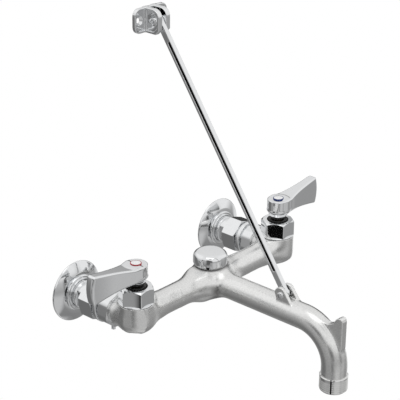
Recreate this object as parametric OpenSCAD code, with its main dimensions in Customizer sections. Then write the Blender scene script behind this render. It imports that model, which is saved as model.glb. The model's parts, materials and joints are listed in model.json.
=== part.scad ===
// Wall-mounted service faucet with two lever valves, a vacuum breaker, a hose outlet and a wall brace.
// The wall is the plane y = 0, the room is towards -Y, +X is the cold side and +Z is up.
// The origin is on the wall, midway between the two inlet axes. All lengths are in millimetres.

/* [Layout] */
// Distance between the two inlet axes
inlet_spacing = 203.2; // [185:0.1:225]
// Distance from the wall to the valve axes
valve_reach = 81.4; // [78:0.1:90]
// Height of the cross arms above the inlet axes
arm_rise = 3; // [2:0.1:4]
// Height of the spout above the inlet axes
spout_rise = 4; // [3:0.1:5]
// Distance from the wall to the axis of the outlet
spout_reach = 234.2; // [225:0.1:260]
// Depth of the outlet's rim below the inlet axes
outlet_drop = 57.2; // [54:0.1:70]

/* [Casting] */
// Radius of the cross arms
arm_r = 12.15; // [11:0.05:13]
// Radius of the arms' thicker ends beside the valves
arm_end_r = 13.5; // [13.2:0.1:14]
// Length of the arms' thicker ends, from the valve axis
arm_end_len = 26; // [22:0.5:30]
// Radius of the valve barrels
barrel_r = 16.5; // [16:0.1:18]
// Height of the barrels' tops above the inlet axes
barrel_top = 16.3; // [15.5:0.1:18]
// Depth of the barrels' bottoms below the inlet axes
barrel_bottom = 11.2; // [10.6:0.1:13]
// Rounding of the barrels' lower edge
barrel_round = 9.5; // [7:0.5:9.5]
// Radius of the inlet spigots
spigot_r = 13.9; // [13.5:0.1:14.5]
// Radius of the spout tube
spout_r = 12.1; // [11:0.1:13]
// Centreline radius of the spout's bend
bend_r = 38; // [34:1:42]
// Radius of the boss under the vacuum breaker
boss_r = 15.6; // [15:0.1:16]
// Height of the boss top above the inlet axes
boss_top = 17.6; // [17.2:0.1:18.5]
// Reach of the shoulders that slope from the boss down to the arms
shoulder_reach = 33; // [32:0.5:38]
// Radius of the thick middle where arms and spout meet
centre_r = 17.8; // [16:0.1:18.5]
// Length of that middle along the arms
centre_len = 38; // [32:1:40]
// Length of the cones from the middle down to the arms
centre_cone = 13; // [10:1:16]
// Radius of the hose thread on the outlet
hose_thread_r = 13.3; // [13:0.05:13.5]
// Length of the hose thread
hose_thread_len = 15.6; // [14:0.1:18]

/* [Waterways] */
// Radius of the waterway in the arms
arm_bore_r = 7; // [6:0.1:7.5]
// Radius of the waterway in the spout
spout_bore_r = 8; // [7:0.1:9]
// Radius of the chamber under each cartridge
chamber_r = 6.5; // [6:0.1:7]
// Depth of that chamber's floor below the inlet axes
chamber_drop = 8; // [7.8:0.1:8.4]
// Radius of the passage from the inlet into that chamber
passage_r = 3.2; // [2.6:0.1:3.2]
// Depth of the passage's axis below the inlet axes
passage_drop = 4.5; // [4.4:0.05:4.6]
// Depth of the cartridge's seat below the inlet axes
seat_drop = 1; // [0.9:0.05:1.1]

/* [Pail hook] */
// Thickness of the pail hook
hook_t = 7.4; // [6:0.1:9]
// Distance that the hook's front edge stands out past the outlet's axis
hook_out = 9.1; // [7:0.1:12]
// Height of the hook's tip above the spout axis
hook_tip_rise = 14.4; // [12:0.2:18]
// Depth of the notch below the tip
hook_notch_depth = 9.6; // [8:0.1:10]

/* [Inlets] */
// Radius of the flange's rim
flange_r = 30.2; // [28:0.1:34]
// Thickness of the flange's rim edge
flange_edge = 1.4; // [1.2:0.1:2.5]
// Radius of the flange's dome where its neck starts
flange_dome_r = 20.8; // [18.5:0.1:23]
// Height of the dome there
flange_dome_h = 6; // [5.4:0.1:6.4]
// Height of the flange's neck
flange_h = 8.3; // [7.6:0.1:9]
// Wall of the flange's sheet
flange_wall = 1.2; // [0.8:0.1:1.4]
// Radius of the supply shank
shank_r = 13.25; // [12.5:0.05:13.5]
// Radius of the supply thread in the wall end
supply_thread_r = 10.3; // [9.8:0.05:10.5]
// Depth of the supply thread
supply_thread_len = 11.5; // [10:0.1:11.6]
// Radius of the waterway in the shank
shank_bore_r = 7.5; // [6.5:0.1:8]
// Distance across the shank's wrench flats
shank_flats = 21.6; // [21:0.1:24]
// Length of the wrench flats beside the coupling nut
flats_len = 9; // [8:0.1:9.2]
// Length of the coupling nut
nut_len = 17; // [15:0.1:17.5]
// Distance across the flats of the coupling nut and the stop's hexagon
nut_flats = 32; // [31.2:0.1:34]
// Turn of the coupling nut from corners level
nut_turn = 42.6; // [0:0.2:60]
// Radius of the union thread
union_r = 14.2; // [13.8:0.05:14.4]
// Thickness of the shank's head and of the nut's shoulder
union_step = 3.5; // [2.5:0.1:4]
// Thickness of the union washer
washer_t = 2; // [1.5:0.1:2.5]
// Radius of the round collar between the nuts
collar_r = 17; // [16.4:0.1:18]
// Gap between the coupling nut and that collar
collar_gap = 2; // [1.5:0.1:3]
// Length of the collar
collar_len = 4.5; // [3.5:0.1:4.5]
// Radius of the groove beside the collar
groove_r = 13.7; // [13.2:0.1:15]
// Length of the groove
groove_len = 2.5; // [1.8:0.1:2.5]
// Length of the stop's hexagon
hex_len = 11; // [10.8:0.1:12]
// Turn of the stop's hexagon from corners level
hex_turn = 21.5; // [0:0.5:60]

/* [Stops] */
// Distance from the groove to the stop's spindle axis
stop_inset = 4; // [3.9:0.1:5]
// Radius of the turning plug
plug_r = 3.6; // [3.4:0.05:3.7]
// Height of the plug above the inlet axis
plug_top = 8; // [7:0.1:9]
// Radius of the waterway through the plug
plug_bore_r = 2.7; // [2:0.1:2.8]
// Radius of the stop's spindle
spindle_r = 2; // [1.5:0.05:2.5]
// Depth of the spindle's end below the inlet axis
spindle_drop = 22.7; // [20:0.1:26]
// Thickness of the gland that holds the plug in
gland_t = 4; // [3:0.1:4.5]

/* [Valves] */
// Radius of the cartridge's barrel
cartridge_r = 10; // [9.8:0.05:10.5]
// Height of the shelf that the cartridge hangs on
shelf_rise = 6; // [5.8:0.1:6.5]
// Radius of the bonnet thread in the barrels
bonnet_thread_r = 13.3; // [13:0.05:13.6]
// Thickness of the cartridge's flange
cartridge_flange_t = 2.5; // [2:0.1:3]
// Radius of the cartridge's black collar
collar_neck_r = 10.9; // [10.6:0.05:11.2]
// Height of the collar's top above the inlet axes
collar_top = 34.4; // [33.5:0.1:34.8]
// Number of splines around the collar
collar_splines = 24; // [12:1:36]
// Radius of the cartridge's cavity
cavity_r = 8.2; // [8:0.05:8.5]
// Radius of the stem
stem_r = 4; // [3.6:0.05:4.4]
// Thickness of the seat seal
seal_t = 1.2; // [1:0.1:1.4]
// Thickness of each ceramic disc
disc_t = 2.7; // [2.5:0.1:2.9]
// Radius of the ports in the discs
port_r = 2.2; // [1.6:0.1:2.4]
// Distance across the corners of the bonnet nut
bonnet_corners = 34; // [33:0.1:36]
// Height of the bonnet nut's top above the inlet axes
bonnet_top = 33; // [32:0.1:34]
// Height of the chamfer on the bonnet nut's top
bonnet_chamfer = 2; // [1.5:0.1:3]

/* [Handles] */
// Radius of the handle's hub
hub_r = 11; // [10:0.1:12]
// Height of the hub's top above the inlet axes
hub_top = 55.4; // [54:0.1:60]
// Height of the hub's straight side
hub_side = 11.5; // [10:0.1:13]
// Height of the hub's underside above the inlet axes
hub_bottom = 35.2; // [35:0.1:36]
// Radius of the hub's underside
hub_foot_r = 6.2; // [5.8:0.1:7]
// Length of the lever from the valve axis to its tip
lever_len = 57.3; // [50:0.1:70]
// Width of the lever's tip
lever_tip_w = 10; // [8:0.1:12]
// Height that the lever's top gains from hub to tip
lever_rise = 4.7; // [3:0.1:7]
// Depth of the lever's blade at its root
lever_root_depth = 14.2; // [12:0.1:16]
// Depth of the lever's blade at its tip
lever_tip_depth = 28.1; // [22:0.1:32]
// Turn of the lever towards the wall
lever_turn = 3.4; // [0:0.2:8]
// Radius of the index button
button_r = 5.25; // [4.8:0.05:6]
// Thickness of the index button
button_t = 3.1; // [2.5:0.1:3.4]

/* [Vacuum breaker] */
// Radius of the cap
cap_r = 16.1; // [15.7:0.1:17.5]
// Height of the cap
cap_h = 15; // [14:0.1:17]
// Distance across the cap's wrench flats
cap_flats = 30; // [29:0.1:31]
// Rounding of the cap's top edge
cap_round = 2.6; // [1.5:0.1:3.5]
// Radius of the thread between cap and boss
cap_thread_r = 12.6; // [12:0.05:13]
// Radius of the float
float_r = 8; // [7.5:0.1:8.5]
// Thickness of the float's disc
float_t = 2.5; // [2:0.1:3]
// Travel of the float
float_travel = 3; // [2:0.1:3.4]
// Radius of the float's guide stem
guide_r = 2.5; // [2:0.05:3]

/* [Brace] */
// Distance from the wall to the brace's lower pin
brace_pin_y = 174.5; // [160:0.5:185]
// Height of the lower pin above the spout axis
brace_pin_rise = 16.4; // [16.3:0.1:18]
// Distance from the wall to the bracket's pin
bracket_pin_y = 14.8; // [13.6:0.1:16.4]
// Height of the bracket's pin above the inlet axes
bracket_pin_z = 248; // [200:1:300]
// Width of the brace bar
bar_w = 7; // [6:0.1:7.6]
// Thickness of the brace bar
bar_t = 4.8; // [4:0.1:5.5]
// Radius of the bar's eyes
eye_r = 4.1; // [3.9:0.05:4.15]
// Radius of the two pins
pin_r = 1.95; // [1.6:0.05:2.1]
// Width of the flute in each side of the bar
flute_w = 4.4; // [2:0.1:4.8]
// Depth of the flutes
flute_depth = 1.2; // [0.6:0.1:1.6]
// Distance from each pin to the flutes' ends
flute_margin = 18; // [14:1:30]
// Thickness of the ears on the spout
ear_t = 3.6; // [3:0.1:4.5]
// Radius of the ears' rounded top
ear_r = 8; // [7:0.1:9]

/* [Wall bracket] */
// Width of the bracket's plate
plate_w = 43; // [40:0.5:50]
// Height of the plate
plate_h = 24; // [22:0.5:28]
// Thickness of the plate
plate_t = 4; // [3.5:0.1:5]
// Corner radius of the plate
plate_corner = 7; // [5:0.5:9]
// Distance from the wall to the cheeks' front
cheek_reach = 21; // [20.5:0.1:24]
// Thickness of each cheek
cheek_t = 5.4; // [4.5:0.1:6]
// Depth of the recess inside the rims
recess_depth = 1.2; // [0.6:0.1:1.6]
// Width of the raised rims
rim_w = 2.4; // [1.8:0.1:3]
// Distance between the two wall screw holes
screw_spacing = 29.5; // [28:0.1:32]
// Radius of the wall screw holes
screw_hole_r = 2.4; // [2:0.05:2.8]

/* [Hidden] */
$fn = 96;

// Radial gap of running fits
fit_gap = 0.05;
// Radial gap of threads and loose seats
thread_gap = 0.1;
// Gap beside parts that turn between cheeks
side_gap = 0.2;
// Extra length of every cut
overrun = 1;
// Segments in one rounded corner of a turned profile
corner_steps = 6;

hot_side = -1;
cold_side = 1;
half_spacing = inlet_spacing / 2;

// Height of the shoulders' ends as a share of the arms' radius
shoulder_share = 0.86;

// The hook's notch and tip, measured from its front and top
notch_sag = 0.4;
notch_lip = 0.5;
hook_throat = 5;
hook_tip_w = 3.6;
hook_tip_bevel = 1.4;
hook_tip_fall = 0.6;
hook_tip_drop = 3;

// Length that the inlet's pieces leave free, and the share of it that the bare shank takes
free_len = valve_reach - barrel_r - hex_len - groove_len - collar_len - collar_gap - nut_len - flange_h;
shank_share = 127 / 196;

// Inlet stack, as distances from the wall
nut_start = flange_h + free_len * shank_share;
flats_start = nut_start - flats_len;
head_start = nut_start + union_step;
washer_start = head_start + union_step;
stop_start = washer_start + washer_t;
collar_start = nut_start + nut_len + collar_gap;
groove_start = collar_start + collar_len;
hex_start = groove_start + groove_len;
stop_y = hex_start + stop_inset;
spigot_start = hex_start + hex_len;
socket_r = 11;
socket_len = 9;
nut_corner_r = nut_flats / 2 / cos(30);
nut_bevel = 1.2;
flange_gap = 0.15;
dome_z = (pow(flange_r, 2) + pow(flange_edge, 2) - pow(flange_dome_r, 2) - pow(flange_dome_h, 2))
    / (2 * (flange_edge - flange_dome_h));
dome_sphere_r = sqrt(pow(flange_r, 2) + pow(flange_edge - dome_z, 2));
neck_foot = 1.2;
gland_start = nut_flats / 2 - gland_t;
spindle_slot_w = 0.9;
spindle_slot_depth = 1.6;

// Valve stack, as heights above the inlet axes
seat_z = -seat_drop;
fixed_disc_z = seat_z + seal_t;
moving_disc_z = fixed_disc_z + disc_t;
foot_z = moving_disc_z + disc_t;
foot_t = 2.8;
cavity_top = foot_z + foot_t + side_gap;
cartridge_flange_r = bonnet_thread_r - side_gap;
neck_start = shelf_rise + cartridge_flange_t;
ring_wall = 3;
ring_z = cavity_top + ring_wall;
seal_bore_r = 5.5;
ring_h = 2.4;
ring_w = 1.4;
spline_depth = 0.7;
spline_h = 3.2;
port_offset_share = 0.55;
key_w = 3;
key_depth = 0.8;
drive_w = 5.4;
drive_inset = 1.4;
drive_drop = 7.2;
web_t = 1.3;
drive_start = hub_bottom + drive_inset;
drive_end = hub_top - drive_drop;
web_top = drive_end + web_t;
screw_r = 1.55;
screw_head_r = 3.6;
screw_head_h = 2.2;
screw_len = 9;
screw_slot_w = 1;
screw_slot_depth = 1;
bonnet_corner_r = bonnet_corners / 2;
bonnet_seat_r = 15;
lever_waist_share = 0.36;
lever_neck_w = 17;
hub_bevel = 0.9;
hub_foot_step = 0.5;
hub_foot_h = 1.6;
lever_curve = 1.9;
lever_steps = 8;
lever_tip_round = 1.6;

// Vacuum breaker, as heights above the inlet axes
cap_thread_len = 5;
ledge_depth = 9.6;
breaker_ledge = boss_top - ledge_depth;
breaker_seat_t = 2;
float_z = breaker_ledge + breaker_seat_t;
float_seal_t = 1.5;
float_seal_z = float_z + float_t;
vent_seat_z = float_seal_z + float_seal_t + float_travel + fit_gap;
vent_r = 6;
vent_h = 4;
vent_slot_w = 3;
vent_slot_h = 1.6;
cap_ceiling_r = 9;
guide_len = 7.5;
breaker_seat_r = 5.5;
well_r = 9;

// Brace
gap_w = bar_t + 2 * side_gap;
ear_out = gap_w / 2 + ear_t;
brace_pin_z = spout_rise + brace_pin_rise;
bar_dy = brace_pin_y - bracket_pin_y;
bar_dz = bracket_pin_z - brace_pin_z;
bar_len = sqrt(pow(bar_dy, 2) + pow(bar_dz, 2));
bar_angle = atan2(bar_dz, bar_dy);
eye_bore_r = pin_r + fit_gap;
pin_head_r = 4;
bracket_head_r = cheek_reach - rim_w - bracket_pin_y - thread_gap;
pin_head_t = 1.8;
rivet_head_r = 3;
rivet_head_t = 1.2;
dimple_share = 0.8;
ear_angle = 29;
ear_back = 7;
ear_front = 8.5;
ear_toe = 13.5;
ear_sink = 1.6;
cheek_out = gap_w / 2 + cheek_t;
plate_z = bracket_pin_z;
cheek_round = 8;
cheek_bevel = 4.2;
countersink_r = 4.6;

// Points of a quarter round from angle a0 to a1 about a centre
function arc(cx, cy, r, a0, a1, steps) =
    [for (i = [0:steps]) let (a = a0 + (a1 - a0) * i / steps) [cx + r * cos(a), cy + r * sin(a)]];

// Frames: an inlet's axis runs from the wall into the room, a valve's axis runs upwards
module inlet(side) translate([side * half_spacing, 0, 0]) rotate([90, 0, 0]) children();
module valve(side) translate([side * half_spacing, -valve_reach, 0]) children();
module outward(side) mirror([side < 0 ? 1 : 0, 0, 0]) children();
// Draws a YZ outline of given thickness centred on x = 0
module slab(thickness) rotate([90, 0, 90]) linear_extrude(thickness, center = true) children();
// A cylinder along X, centred
module cross(r, len) rotate([0, 90, 0]) cylinder(r = r, h = len, center = true);
// A hexagonal prism with its corners bevelled at either end
module hex_prism(corner_r, len, bevel_a, bevel_b) intersection() {
    cylinder(r = corner_r, h = len, $fn = 6);
    rotate_extrude() polygon([
        [0, 0], [corner_r - 2 * bevel_a, 0], [corner_r, bevel_a],
        [corner_r, len - bevel_b], [corner_r - 2 * bevel_b, len], [0, len],
    ]);
}
module tube(r_out, r_in, len) difference() {
    cylinder(r = r_out, h = len);
    translate([0, 0, -overrun]) cylinder(r = r_in, h = len + 2 * overrun);
}

// The casting

module barrel_form() rotate_extrude() polygon(concat(
    [[0, barrel_top], [0, -barrel_bottom]],
    arc(barrel_r - barrel_round, barrel_round - barrel_bottom, barrel_round, -90, 0, corner_steps),
    [[barrel_r, barrel_top]]
));

module arm_forms() {
    translate([0, -valve_reach, arm_rise]) cross(arm_r, inlet_spacing);
    for (side = [hot_side, cold_side])
        translate([side * (half_spacing - arm_end_len / 2), -valve_reach, arm_rise])
            cross(arm_end_r, arm_end_len);
}

// Thick middle of the arms, cut off under the vacuum breaker and sloping down beside it
module centre_form() intersection() {
    translate([0, -valve_reach, arm_rise]) union() {
        cross(centre_r, centre_len);
        for (side = [hot_side, cold_side]) rotate([0, side * 90, 0])
            translate([0, 0, centre_len / 2]) cylinder(r1 = centre_r, r2 = arm_r, h = centre_cone);
    }
    translate([0, -valve_reach + centre_r, 0]) rotate([90, 0, 0]) linear_extrude(2 * centre_r) polygon([
        [-shoulder_reach, -centre_r], [-shoulder_reach, arm_rise + arm_r * shoulder_share],
        [-boss_r, boss_top], [boss_r, boss_top],
        [shoulder_reach, arm_rise + arm_r * shoulder_share], [shoulder_reach, -centre_r],
    ]);
}

// The spout's route as a round bar of radius r
module spout_route(r, end_extra) {
    bend_y = spout_reach - bend_r;
    translate([0, -valve_reach, spout_rise]) rotate([90, 0, 0]) cylinder(r = r, h = bend_y - valve_reach);
    translate([0, -bend_y, spout_rise - bend_r]) rotate([90, 0, -90]) rotate_extrude(angle = 90)
        translate([bend_r, 0]) circle(r);
    translate([0, -spout_reach, -outlet_drop - end_extra])
        cylinder(r = r, h = outlet_drop + spout_rise - bend_r + end_extra);
}

module ear_outline() polygon(concat(
    [[-brace_pin_y + ear_back, spout_rise], [-brace_pin_y + ear_back, brace_pin_z]],
    arc(-brace_pin_y, brace_pin_z, ear_r, ear_angle, 180 - ear_angle, 2 * corner_steps),
    [[-brace_pin_y - ear_front, brace_pin_z - ear_r / 4],
     [-brace_pin_y - ear_toe, spout_rise + spout_r - ear_sink], [-brace_pin_y - ear_toe, spout_rise]]
));

module ears() difference() {
    slab(2 * ear_out) ear_outline();
    translate([-gap_w / 2, -brace_pin_y - ear_toe - overrun, spout_rise + spout_r])
        cube([gap_w, 2 * ear_toe + 2 * overrun, 2 * ear_r]);
}

module hook() {
    tip_z = spout_rise + hook_tip_rise;
    notch_z = tip_z - hook_notch_depth;
    front = -spout_reach - hook_out;
    slab(hook_t) polygon([
        [-spout_reach + bend_r * 0.4, notch_z], [-spout_reach + bend_r * 0.18, notch_z - notch_sag],
        [-spout_reach + notch_lip, notch_z + hook_notch_depth * 0.3],
        [front + hook_throat, notch_z + hook_notch_depth * 0.75], [front + hook_tip_w, tip_z],
        [front + hook_tip_bevel, tip_z - hook_tip_fall], [front, tip_z - hook_tip_drop],
        [front, spout_rise - bend_r * 0.42], [-spout_reach, -bend_r],
        [-spout_reach + bend_r * 0.4, -bend_r * 0.5],
    ]);
}

module body_solid() {
    for (side = [hot_side, cold_side]) {
        valve(side) barrel_form();
        inlet(side) translate([0, 0, spigot_start]) cylinder(r = spigot_r, h = valve_reach - spigot_start);
    }
    arm_forms();
    centre_form();
    translate([0, -valve_reach, arm_rise]) cylinder(r = boss_r, h = boss_top - arm_rise);
    spout_route(spout_r, 0);
    translate([0, -spout_reach, -outlet_drop]) cylinder(r = hose_thread_r, h = hose_thread_len);
    ears();
    hook();
}

module valve_bores() {
    cylinder(r = cartridge_r + fit_gap, h = barrel_top);
    translate([0, 0, seat_z]) cylinder(r = cartridge_r + fit_gap, h = barrel_top);
    translate([0, 0, shelf_rise]) cylinder(r = bonnet_thread_r, h = barrel_top);
    translate([0, 0, -chamber_drop]) cylinder(r = chamber_r, h = barrel_top);
    translate([0, 0, barrel_top]) cylinder(r = bonnet_corner_r + fit_gap, h = barrel_top);
}

module body_bores() {
    arm_end = half_spacing - cartridge_r + overrun;
    for (side = [hot_side, cold_side]) {
        valve(side) valve_bores();
        inlet(side) translate([0, 0, spigot_start - overrun])
            cylinder(r = socket_r, h = socket_len + overrun);
        inlet(side) translate([0, -passage_drop, spigot_start])
            cylinder(r = passage_r, h = valve_reach - spigot_start);
    }
    translate([0, -valve_reach, arm_rise]) cross(arm_bore_r, 2 * arm_end);
    spout_route(spout_bore_r, overrun);
    translate([0, -valve_reach, arm_rise]) cylinder(r = well_r, h = boss_top);
    translate([0, -valve_reach, breaker_ledge]) cylinder(r = cap_thread_r, h = boss_top);
    translate([0, -brace_pin_y, brace_pin_z]) cross(eye_bore_r, 2 * ear_out + 2 * overrun);
}

module faucet_body() color("silver") difference() {
    body_solid();
    body_bores();
}

// The inlets

module flange_shape(grow) {
    intersection() {
        translate([0, 0, dome_z]) sphere(dome_sphere_r + grow);
        cylinder(r = flange_r + grow, h = flange_dome_h + grow);
    }
    rotate_extrude() polygon([
        [0, 0], [flange_dome_r + grow, 0],
        [flange_dome_r - neck_foot + grow, flange_dome_h - neck_foot / 2 + grow],
        [shank_r + flange_wall + grow, flange_h + grow], [0, flange_h + grow],
    ]);
}

module flange() color("gainsboro") difference() {
    flange_shape(0);
    translate([0, 0, -flange_wall]) difference() {
        flange_shape(-flange_wall / 4);
        cylinder(r = shank_r + flange_wall, h = flange_h);
    }
    translate([0, 0, -overrun]) cylinder(r = shank_r + flange_gap, h = flange_h + 2 * overrun);
}

module supply_shank() color("gainsboro") difference() {
    union() {
        cylinder(r = shank_r, h = washer_start);
        translate([0, 0, head_start]) cylinder(r = union_r, h = union_step);
    }
    translate([0, 0, -overrun]) cylinder(r = supply_thread_r, h = supply_thread_len + overrun);
    cylinder(r = shank_bore_r, h = washer_start + overrun);
    for (turn = [0, 180]) rotate([0, 0, turn])
        translate([shank_flats / 2, -shank_r, flats_start]) cube([shank_r, 2 * shank_r, flats_len]);
}

module coupling_nut() color("gainsboro") translate([0, 0, nut_start]) difference() {
    rotate([0, 0, nut_turn]) hex_prism(nut_corner_r, nut_len, nut_bevel, nut_bevel);
    translate([0, 0, -overrun]) cylinder(r = shank_r + thread_gap, h = nut_len + 2 * overrun);
    translate([0, 0, union_step]) cylinder(r = union_r + thread_gap, h = nut_len);
}

module union_washer() color("dimgray") translate([0, 0, washer_start])
    tube(union_r - side_gap, shank_bore_r, washer_t);

module stop_body() color("gainsboro") difference() {
    union() {
        translate([0, 0, stop_start]) cylinder(r = union_r, h = collar_start - stop_start);
        translate([0, 0, collar_start]) cylinder(r = collar_r, h = collar_len);
        translate([0, 0, groove_start]) cylinder(r = groove_r, h = groove_len);
        translate([0, 0, hex_start]) intersection() {
            rotate([0, 0, hex_turn]) cylinder(r = nut_corner_r, h = spigot_start - hex_start, $fn = 6);
            cylinder(r = collar_r, h = spigot_start - hex_start);
        }
        translate([0, 0, spigot_start]) cylinder(r = socket_r - thread_gap, h = socket_len - overrun);
    }
    translate([0, 0, stop_start - overrun]) cylinder(r = plug_bore_r, h = spigot_start);
    translate([0, 0, stop_start - overrun])
        cylinder(r = shank_bore_r, h = collar_start - stop_start + overrun);
    translate([0, plug_top + side_gap, stop_y]) rotate([90, 0, 0])
        cylinder(r = plug_r + fit_gap, h = plug_top + nut_corner_r + overrun);
}

module stop_plug() color("silver") translate([0, 0, stop_y]) rotate([90, 0, 0]) difference() {
    union() {
        translate([0, 0, -plug_top]) cylinder(r = plug_r, h = plug_top + gland_start);
        cylinder(r = spindle_r, h = spindle_drop);
    }
    rotate([90, 0, 0]) cylinder(r = plug_bore_r, h = 2 * plug_r + overrun, center = true);
    translate([-spindle_r - overrun, -spindle_slot_w / 2, spindle_drop - spindle_slot_depth])
        cube([2 * (spindle_r + overrun), spindle_slot_w, spindle_slot_depth + overrun]);
}

module stop_gland() color("gainsboro") translate([0, -gland_start, stop_y]) rotate([90, 0, 0])
    tube(plug_r, spindle_r + fit_gap, gland_t);

// The valves

module cartridge() color("black") difference() {
    union() {
        translate([0, 0, seat_z]) cylinder(r = cartridge_r, h = shelf_rise - seat_z);
        translate([0, 0, shelf_rise]) cylinder(r = cartridge_flange_r, h = cartridge_flange_t);
        translate([0, 0, neck_start]) cylinder(r = collar_neck_r, h = collar_top - neck_start);
    }
    translate([0, 0, seat_z - overrun]) cylinder(r = cavity_r, h = cavity_top - seat_z + overrun);
    cylinder(r = stem_r + fit_gap, h = collar_top + overrun);
    translate([0, 0, ring_z]) cylinder(r = stem_r + ring_w, h = ring_h);
    translate([-cartridge_r - overrun, -port_r - key_w / 2, moving_disc_z])
        cube([2 * (cartridge_r + overrun), 2 * port_r + key_w, shelf_rise - moving_disc_z - side_gap]);
    for (i = [0:collar_splines - 1]) rotate([0, 0, 360 * i / collar_splines])
        translate([collar_neck_r - spline_depth, -spline_depth / 2, collar_top - spline_h])
            cube([spline_depth + overrun, spline_depth, spline_h + overrun]);
}

module seat_seal() color("dimgray") translate([0, 0, seat_z])
    tube(cavity_r - side_gap / 2, seal_bore_r, seal_t);

module ported_disc(turn, r) difference() {
    cylinder(r = r, h = disc_t);
    for (half = [0, 180]) rotate([0, 0, turn + half])
        translate([cavity_r * port_offset_share, 0, -overrun]) cylinder(r = port_r, h = disc_t + 2 * overrun);
}

module fixed_disc() color("white") translate([0, 0, fixed_disc_z]) ported_disc(0, cavity_r - side_gap / 2);

module moving_disc() color("ivory") translate([0, 0, moving_disc_z]) difference() {
    ported_disc(90, cavity_r - side_gap);
    for (half = [0, 180]) rotate([0, 0, 90 + half])
        translate([cavity_r * port_offset_share, -port_r / 2, disc_t / 2]) cube([cavity_r, port_r, disc_t]);
    translate([-cavity_r, -key_w / 2 - thread_gap, disc_t - key_depth])
        cube([2 * cavity_r, key_w + 2 * thread_gap, key_depth + overrun]);
}

module stem() color("goldenrod") difference() {
    union() {
        translate([0, 0, foot_z]) cylinder(r = cavity_r - side_gap, h = foot_t);
        translate([0, 0, foot_z]) cylinder(r = stem_r, h = drive_start - foot_z);
        intersection() {
            translate([0, 0, foot_z - key_depth + fit_gap]) cylinder(r = cavity_r - side_gap, h = foot_t);
            translate([-cavity_r, -key_w / 2, foot_z - key_depth + fit_gap])
                cube([2 * cavity_r, key_w, key_depth]);
        }
        translate([-drive_w / 2, -drive_w / 2, drive_start - overrun])
            cube([drive_w, drive_w, drive_end - drive_start + overrun]);
    }
    translate([0, 0, web_top - screw_len]) cylinder(r = screw_r + fit_gap, h = screw_len);
}

module stem_ring() color("black") translate([0, 0, ring_z + side_gap / 2])
    tube(stem_r + ring_w - side_gap / 2, stem_r + fit_gap, ring_h - side_gap);

module bonnet_nut() color("gainsboro") difference() {
    union() {
        translate([0, 0, neck_start]) cylinder(r = bonnet_thread_r - thread_gap, h = barrel_top - neck_start);
        translate([0, 0, barrel_top]) intersection() {
            cylinder(r = bonnet_corner_r, h = bonnet_top - barrel_top, $fn = 6);
            rotate_extrude() polygon([
                [0, 0], [bonnet_corner_r, 0], [bonnet_corner_r, bonnet_top - barrel_top - bonnet_chamfer],
                [bonnet_seat_r, bonnet_top - barrel_top], [0, bonnet_top - barrel_top],
            ]);
        }
    }
    translate([0, 0, neck_start - overrun]) cylinder(r = collar_neck_r + thread_gap, h = bonnet_top);
}

// Outline of the lever from above, pointing along +X
module lever_plan() polygon(concat(
    [[0, -hub_r], [lever_len * 0.1, -hub_r * 0.95], [lever_len * lever_waist_share, -lever_neck_w / 2 * 0.9],
     [lever_len * 0.7, -lever_tip_w * 0.56], [lever_len - lever_tip_round, -lever_tip_w / 2],
     [lever_len, lever_tip_round - lever_tip_w / 2]],
    [[lever_len, lever_tip_w / 2 - lever_tip_round], [lever_len - lever_tip_round, lever_tip_w / 2],
     [lever_len * 0.7, lever_tip_w * 0.56],
     [lever_len * lever_waist_share, lever_neck_w / 2 * 0.9], [lever_len * 0.1, hub_r * 0.95], [0, hub_r]]
));

// Outline of the lever from the side
module lever_side() {
    root = hub_top - lever_root_depth;
    tip_top = hub_top + lever_rise;
    drop = root - tip_top + lever_tip_depth;
    polygon(concat(
        [for (i = [0:lever_steps]) let (t = i / lever_steps)
            [lever_len * t, root - drop * pow(t, lever_curve)]],
        [[lever_len, tip_top], [hub_r, hub_top], [0, hub_top]]
    ));
}

module hub_form() rotate_extrude() polygon([
    [0, hub_bottom], [hub_foot_r, hub_bottom], [hub_foot_r + hub_foot_step, hub_bottom + hub_foot_h],
    [hub_r, hub_top - hub_side], [hub_r, hub_top - hub_bevel], [hub_r - hub_bevel, hub_top], [0, hub_top],
]);

module handle() color("gainsboro") difference() {
    socket_w = drive_w + 2 * thread_gap;
    rotate([0, 0, lever_turn]) union() {
        hub_form();
        intersection() {
            linear_extrude(hub_top + lever_rise + overrun) lever_plan();
            translate([0, hub_r + overrun, 0]) rotate([90, 0, 0])
                linear_extrude(2 * (hub_r + overrun)) lever_side();
        }
    }
    translate([0, 0, hub_bottom - overrun])
        cylinder(r = stem_r + thread_gap, h = drive_start - hub_bottom + overrun);
    translate([-socket_w / 2, -socket_w / 2, drive_start - overrun])
        cube([socket_w, socket_w, drive_end - drive_start + overrun + thread_gap]);
    translate([0, 0, drive_end]) cylinder(r = screw_r + 2 * thread_gap, h = hub_top);
    translate([0, 0, web_top]) cylinder(r = screw_head_r + thread_gap, h = hub_top);
    translate([0, 0, hub_top - button_t]) cylinder(r = button_r + thread_gap, h = hub_top);
}

module handle_screw() color("silver") difference() {
    union() {
        translate([0, 0, web_top]) cylinder(r = screw_head_r, h = screw_head_h);
        translate([0, 0, web_top - screw_len + overrun]) cylinder(r = screw_r, h = screw_len);
    }
    translate([-screw_head_r - overrun, -screw_slot_w / 2, web_top + screw_head_h - screw_slot_depth])
        cube([2 * (screw_head_r + overrun), screw_slot_w, screw_slot_depth + overrun]);
}

module index_button(ring_colour) color(ring_colour) translate([0, 0, hub_top - button_t])
    cylinder(r = button_r, h = button_t);

// The vacuum breaker

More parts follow.
